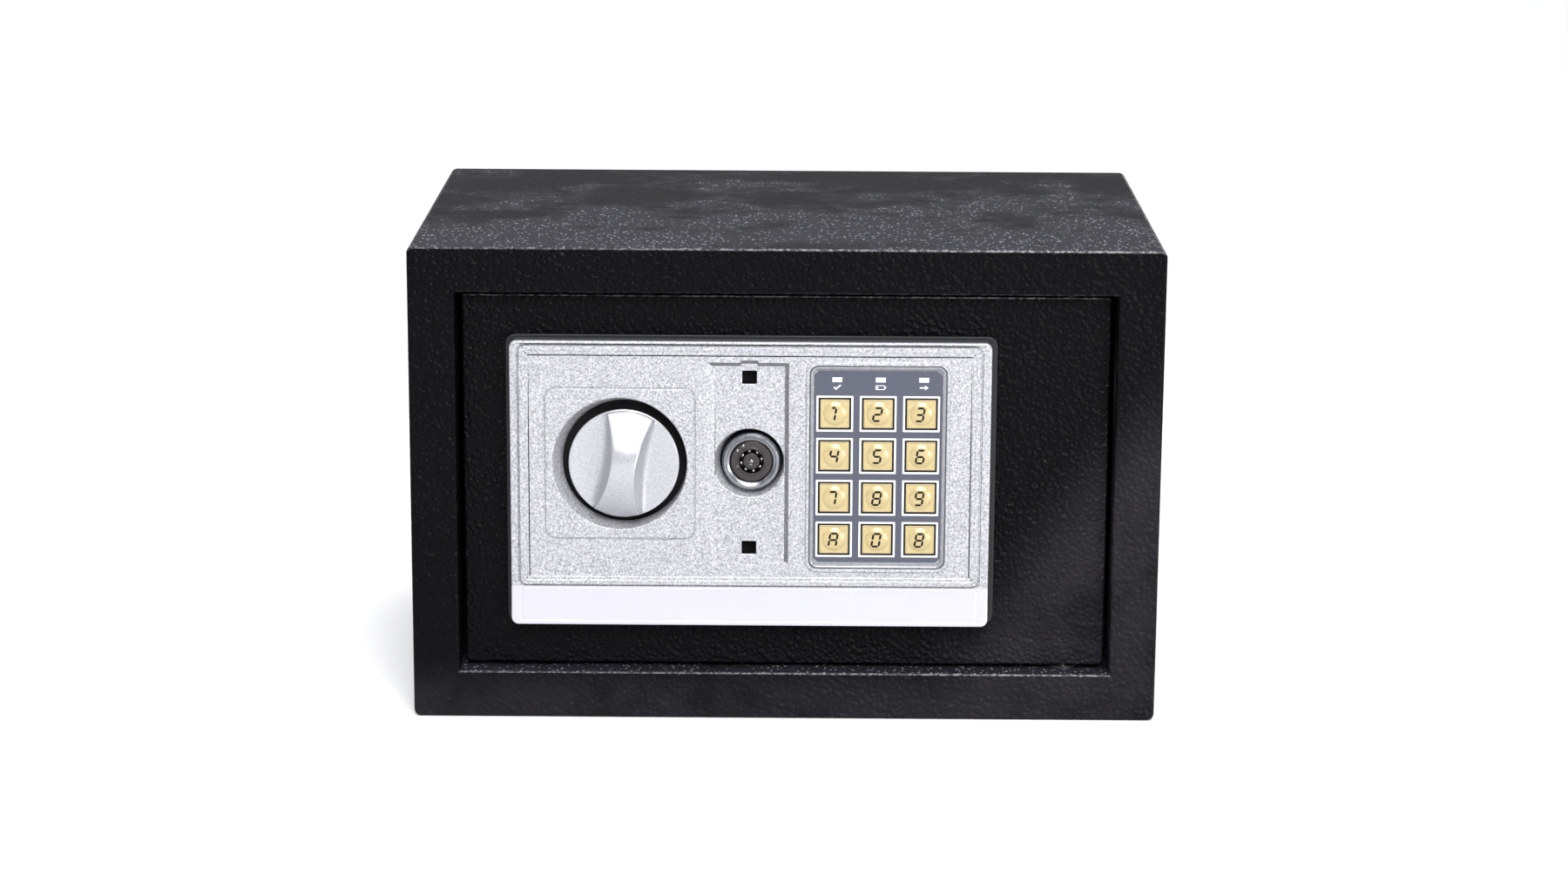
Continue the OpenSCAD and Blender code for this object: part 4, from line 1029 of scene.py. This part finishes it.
class SAFE_OT_keypad(bpy.types.Operator):
    """Builds the keypad's bezel, film, print and lamps"""
    bl_idname = "safe.keypad"
    bl_label = "Keypad"

    def execute(self, context):
        s = context.scene.safe_keypad
        at = centre("keypad_frame")
        low, high = span("keypad_frame")
        plane, floor = depth_span("keypad_frame")
        film_low, film_high = span("keypad_overlay")
        film_front, film_back = depth_span("keypad_overlay")
        keys = [centre("key_" + k) for k in KEYS]
        lamps_low, lamps_high = span("indicator_lamps")
        lamp_z, lamp_h = (lamps_low.z + lamps_high.z) / 2, lamps_high.z - lamps_low.z
        lamp_w = 4.2
        lamp_at = [(keys[k][0] + 0.9, lamp_z) for k in range(3)]

        bm = bmesh.new()
        outline = rectangle(low.x + 0.02, low.z + 0.02, high.x - 0.02, high.z - 0.02, 3.4, 6)
        ring = wall(bm, outline, eased(
            [(-0.3, floor), (0, floor), (0, -0.55), (-0.45, -0.95), (-0.9, -0.75), (-1.45, -0.35),
             (-1.75, plane), (-2.1, plane)], 0.16, 3))
        through = [(0, plane), (0, floor)]
        windows = [wall(bm, square(k, 6.65, 6.65, 0.4, 2), through) for k in keys]
        windows += [wall(bm, square(k, lamp_w / 2 + 0.15, lamp_h / 2 + 0.15, 0.2, 2), through)
                    for k in lamp_at]
        web(bm, ring[1], *[made[0] for made in windows])
        web(bm, ring[0], *[made[1] for made in windows])
        piece("keypad_bezel", bm, "bezel", "door", ["keypad_frame"])

        # small ribs that hold the film, moulded on the bezel's inner edge
        bm = bmesh.new()
        ribs, end_gap, out = 7, 7, 26.7
        for side in (-1, 1):
            for k in range(ribs):
                z = film_low.z + end_gap + k * (film_high.z - film_low.z - 2 * end_gap) / (ribs - 1)
                x = at[0] + side * out
                bar(bm, (x - 0.45, -0.5, z - 0.7), (x + 0.45, plane + 0.3, z + 0.7), 0.2, 2)
        piece("bezel_ribs", bm, "bezel", "door")

        bm = bmesh.new()
        half, cut = s.window / 2, 1.8
        x0, z0, x1, z1 = film_low.x, film_low.z, film_high.x, film_high.z
        shape = rounded([(x0, z0 + cut), (x0 + cut, z0), (x1 - cut, z0), (x1, z0 + cut),
                         (x1, z1 - cut), (x1 - cut, z1), (x0 + cut, z1), (x0, z1 - cut)], 0.8, 3)
        holes = [square(k, half, half, 0.3, 2) for k in keys]
        holes += [square(k, lamp_w / 2 + 0.08, lamp_h / 2 + 0.08, 0.15, 2) for k in lamp_at]
        plate(bm, shape, holes, film_front, film_back, 0.06, hole_ease=0.04)
        piece("keypad_film", bm, "film", "door", ["keypad_overlay"])

        # a dark ring round each key, painted shade of the gap round the key, and the white border
        # round it
        print_rise = 0.03
        for name, finish, outer, inner in (("key_outlines", "ink", s.border - 1.6, s.window + 0.05),
                                           ("key_borders", "white", s.border, s.border - 1.6)):
            bm = bmesh.new()
            for k in keys:
                plate(bm, square(k, outer / 2, outer / 2, 0.25, 2),
                      [square(k, inner / 2, inner / 2, 0.15, 2)], film_front - print_rise,
                      film_front + 0.06, 0.015)
            piece(name, bm, finish, "door")

        # pictograms under the lamps: a tick, a battery and an arrow
        bm = bmesh.new()
        z = lamp_z - lamp_h / 2 - 2.15
        x = lamp_at[0][0]
        tick = [(-1.6, 0.1), (-1.15, 0.5), (-0.5, -0.1), (1.2, 1.35), (1.6, 0.9), (-0.5, -0.95)]
        marks = [([(x + a, z - 0.15 + b) for a, b in tick][::-1], [])]
        x = lamp_at[1][0]
        marks += [(square((x - 0.15, z), 1.9, 0.95, 0.2, 2),
                   [square((x - 0.15, z), 1.6, 0.65, 0.1, 2)]),
                  (square((x + 2.0, z), 0.22, 0.42, 0.1, 2), []),
                  (square((x - 1.25, z), 0.3, 0.4, 0.05, 2), [])]
        x = lamp_at[2][0]
        marks += [([(x - 1.8, z - 0.3), (x + 0.4, z - 0.3), (x + 0.4, z - 1.05), (x + 1.9, z),
                    (x + 0.4, z + 1.05), (x + 0.4, z + 0.3), (x - 1.8, z + 0.3)], [])]
        for shape, gaps in marks:
            plate(bm, shape, gaps, film_front - print_rise, film_front + 0.05, 0.012)
        piece("lamp_symbols", bm, "white", "door")

        bm = bmesh.new()
        for x, z in lamp_at:
            bar(bm, (x - lamp_w / 2, film_front - 0.28, z - lamp_h / 2),
                (x + lamp_w / 2, depth_span("indicator_lamps")[1], z + lamp_h / 2), 0.22, 3)
        piece("lamp_lenses", bm, "lens", "door", ["indicator_lamps"], 50)
        paint("board", "keypad_board")
        paint("switch", "key_switches")
        return {"FINISHED"}


class SAFE_OT_keys(bpy.types.Operator):
    """Builds the twelve domed keys with their printed digits"""
    bl_idname = "safe.keys"
    bl_label = "Keys"

    def execute(self, context):
        s = context.scene.safe_keypad
        front = depth_span("keypad_overlay")[0]
        clearance, sides, slant = 0.03, 40, math.tan(math.radians(9))
        back = depth_span("key_1")[1] - clearance
        ball = (s.dome_r ** 2 + s.dome_h ** 2) / (2 * s.dome_h)

        def dome(distance):
            """Depth of the key's surface at a distance from its middle."""
            if distance >= s.dome_r:
                return front
            share = distance / s.dome_r
            round_top = s.dome_h - ball + math.sqrt(ball ** 2 - distance ** 2)
            return front - 0.55 * round_top - 0.45 * s.dome_h * (1 - share ** 5)

        for key in KEYS:
            at = centre("key_" + key)
            bm = bmesh.new()
            cap = square(at, s.key / 2, s.key / 2, 0.3, 3)
            edge = wall(bm, cap, eased([(-0.45, front), (0, front), (0, back), (-0.3, back)],
                                       0.14, 2))
            rings = [(s.dome_r + 0.5, front), (s.dome_r + 0.3, front + 0.1),
                     (s.dome_r + 0.05, front + 0.08)]
            for share in (0.985, 0.9, 0.76, 0.6, 0.42, 0.22):
                rings.append((share * s.dome_r, dome(share * s.dome_r)))
            crown = tube(bm, [(circle(*at, r, sides), d) for r, d in rings])
            web(bm, edge[0], crown[0])
            web(bm, crown[1])
            web(bm, edge[1])
            piece("keycap_" + key, bm, "gold", "key_" + key, ["key_" + key], 50)

            bm = bmesh.new()
            for which in STROKES[key]:
                shape = [(at[0] + x + z * slant + SHIFTS.get(key, -0.25), at[1] + z - 0.1)
                         for x, z in stroke_outline(which, s.digit_w, s.digit_h, s.stroke)]
                plate(bm, shape, [], -0.05, 0.05, 0.012)
            for v in bm.verts:
                away = math.hypot(v.co.x - at[0], v.co.z - at[1])
                v.co.y += dome(away) - 0.01
            piece("key_mark_" + key, bm, "ink", "key_" + key, (), 50)
        return {"FINISHED"}


# ---- bolt work, battery cover and reset ----

class SAFE_OT_bolts(bpy.types.Operator):
    """Finishes the bolt plate, the bolts and the plunger"""
    bl_idname = "safe.bolts"
    bl_label = "Bolt work"

    def execute(self, context):
        softened("bolt_carriage_plate", "bolt_plate", 0.3, 2, long_edge(8),
                 "zinc", "bolt_carriage")
        low, high = span("locking_bolts")
        radius = (high.y - low.y) / 2
        depth = low.y + radius
        bm = bmesh.new()
        for z in (low.z + radius, high.z - radius):
            profile = eased([(low.x, 0), (low.x, radius - 1.4), (low.x + 1.2, radius),
                             (high.x - 6, radius), (high.x - 5.6, radius - 0.5),
                             (high.x - 4.8, radius - 0.5), (high.x - 4.4, radius),
                             (high.x - 0.4, radius), (high.x, radius - 0.5), (high.x, 0)], 0.3, 2)
            verts = [bm.verts.new((x, depth + r, z)) for x, r in profile]
            revolve(bm, verts, (0, depth, z), (1, 0, 0), 64)
        piece("bolt_bars", bm, "bolt", "bolt_carriage", ["locking_bolts"], 45)
        paint("zinc", "bolt_screws", "plunger_spring")
        paint("bolt", "plunger")
        return {"FINISHED"}


class SAFE_OT_service(bpy.types.Operator):
    """Finishes the battery cover and the reset button"""
    bl_idname = "safe.service"
    bl_label = "Battery cover and reset"

    def execute(self, context):
        low, high = span("battery_cover")
        front, back = depth_span("battery_cover")
        bm = bmesh.new()
        plate(bm, rectangle(low.x, low.z, high.x, high.z, 1.5), [], front + 2.03, back, 0.5, 3)
        mid = (low.x + high.x) / 2
        for k in range(6):
            z = low.z + 9 + 2.2 * k
            bar(bm, (mid - 9, back - 0.25, z - 0.5), (mid + 9, back + 0.55, z + 0.5), 0.35, 3)
        for z in (low.z + 2.3, high.z - 3.6):
            bar(bm, (mid - 8, front, z), (mid + 8, front + 2.2, z + 1.3), 0.3, 2)
        piece("battery_door", bm, "cover", "battery_cover", ["battery_cover"])

        at = centre("reset_button")
        front, back = depth_span("reset_button")
        bm = bmesh.new()
        turned(bm, at, eased([(0, front), (1.2, front), (1.2, front + 2), (3.5, front + 2),
                              (3.5, back), (2.6, back - 0.25), (0, back - 0.5)], 0.35, 3), 48)
        piece("reset_cap", bm, "red", "reset_button", ["reset_button"], 45)
        return {"FINISHED"}


# ---- stage ----

class SAFE_OT_stage(bpy.types.Operator):
    """Sets the floor, the soft lights and the camera"""
    bl_idname = "safe.stage"
    bl_label = "Stage"

    def lamp(self, name, spot, look, extent, power):
        """A soft rectangular light at a spot, turned towards a point; in metres and watts."""
        data = bpy.data.lights.new(name, "AREA")
        data.shape = "RECTANGLE"
        data.size, data.size_y = extent
        data.energy = power
        made = placed(name, data)
        made.location = spot
        made.rotation_euler = (Vector(look) - Vector(spot)).to_track_quat("-Z", "Y").to_euler()

    def execute(self, context):
        reach = 14.0
        bm = bmesh.new()
        bmesh.ops.create_grid(bm, x_segments=1, y_segments=1, size=reach)
        mesh = bpy.data.meshes.new("stage_floor")
        bm.to_mesh(mesh)
        bm.free()
        mesh.materials.append(finishes["floor"])
        placed("stage_floor", mesh)

        world = bpy.data.worlds.new("studio")
        world.use_nodes = True
        sky = world.node_tree.nodes["Background"].inputs
        sky["Color"].default_value = (0.93, 0.95, 1.0, 1)
        sky["Strength"].default_value = 0.3
        context.scene.world = world
        self.lamp("key_softbox", (0.3, -2.1, 1.65), (0, -0.1, 0.1), (1.3, 1.1), 98)
        self.lamp("top_softbox", (0.1, -0.55, 1.8), (0, 0, 0.1), (1.3, 0.8), 13)
        self.lamp("low_softbox", (1.0, -1.25, 0.13), (0.1, -0.1, 0.05), (0.3, 0.2), 9)
        self.lamp("left_fill", (-2.0, -1.0, 1.6), (-0.2, 0, 0), (1.2, 1.2), 16)
        self.lamp("backdrop_light", (0, 4.5, 5.0), (0, 4.5, 0), (10.0, 9.0), 560)

        camera = bpy.data.cameras.new("camera")
        camera.lens = 83.54
        camera.sensor_width = 36.0
        camera.clip_end = 60
        holder = placed("camera", camera)
        pitch, yaw, roll = math.radians(13.43), math.radians(0.11), math.radians(0.36)
        facing = (Matrix.Rotation(yaw, 4, "Z") @ Matrix.Rotation(math.pi / 2 - pitch, 4, "X")
                  @ Matrix.Rotation(roll, 4, "Z"))
        stand = (0.0021, FRONT * MM - 1.4565, 0.4675)
        holder.matrix_world = Matrix.Translation(stand) @ facing
        context.scene.camera = holder
        context.scene.view_settings.view_transform = "Standard"
        return {"FINISHED"}


# ---- sidebar and registration ----

OPERATORS = (SAFE_OT_cabinet, SAFE_OT_door, SAFE_OT_panel, SAFE_OT_knob, SAFE_OT_lock,
             SAFE_OT_keypad, SAFE_OT_keys, SAFE_OT_bolts, SAFE_OT_service, SAFE_OT_stage)
SETTINGS = {"safe_panel": SafePanelSettings, "safe_knob": SafeKnobSettings,
            "safe_keypad": SafeKeypadSettings, "safe_finish": SafeFinishSettings}


class SAFE_PT_sidebar(bpy.types.Panel):
    """Lists the safe's settings and operators"""
    bl_label = "Electronic safe"
    bl_idname = "SAFE_PT_sidebar"
    bl_space_type = "VIEW_3D"
    bl_region_type = "UI"
    bl_category = "Safe"

    def draw(self, context):
        for name, group in SETTINGS.items():
            box = self.layout.box()
            box.label(text=group.__doc__)
            for key in group.__annotations__:
                box.prop(getattr(context.scene, name), key)
        for operator in OPERATORS:
            self.layout.operator(operator.bl_idname)


def register():
    for group in SETTINGS.values():
        bpy.utils.register_class(group)
    for name, group in SETTINGS.items():
        setattr(bpy.types.Scene, name, PointerProperty(type=group))
    for cls in OPERATORS + (SAFE_PT_sidebar,):
        bpy.utils.register_class(cls)


def unregister():
    for cls in (SAFE_PT_sidebar,) + OPERATORS[::-1]:
        bpy.utils.unregister_class(cls)
    for name, group in SETTINGS.items():
        delattr(bpy.types.Scene, name)
        bpy.utils.unregister_class(group)


def main():
    register()
    make_finishes(bpy.context.scene.safe_finish)
    for operator in OPERATORS:
        group, call = operator.bl_idname.split(".")
        getattr(getattr(bpy.ops, group), call)()


if __name__ == "__main__":
    main()
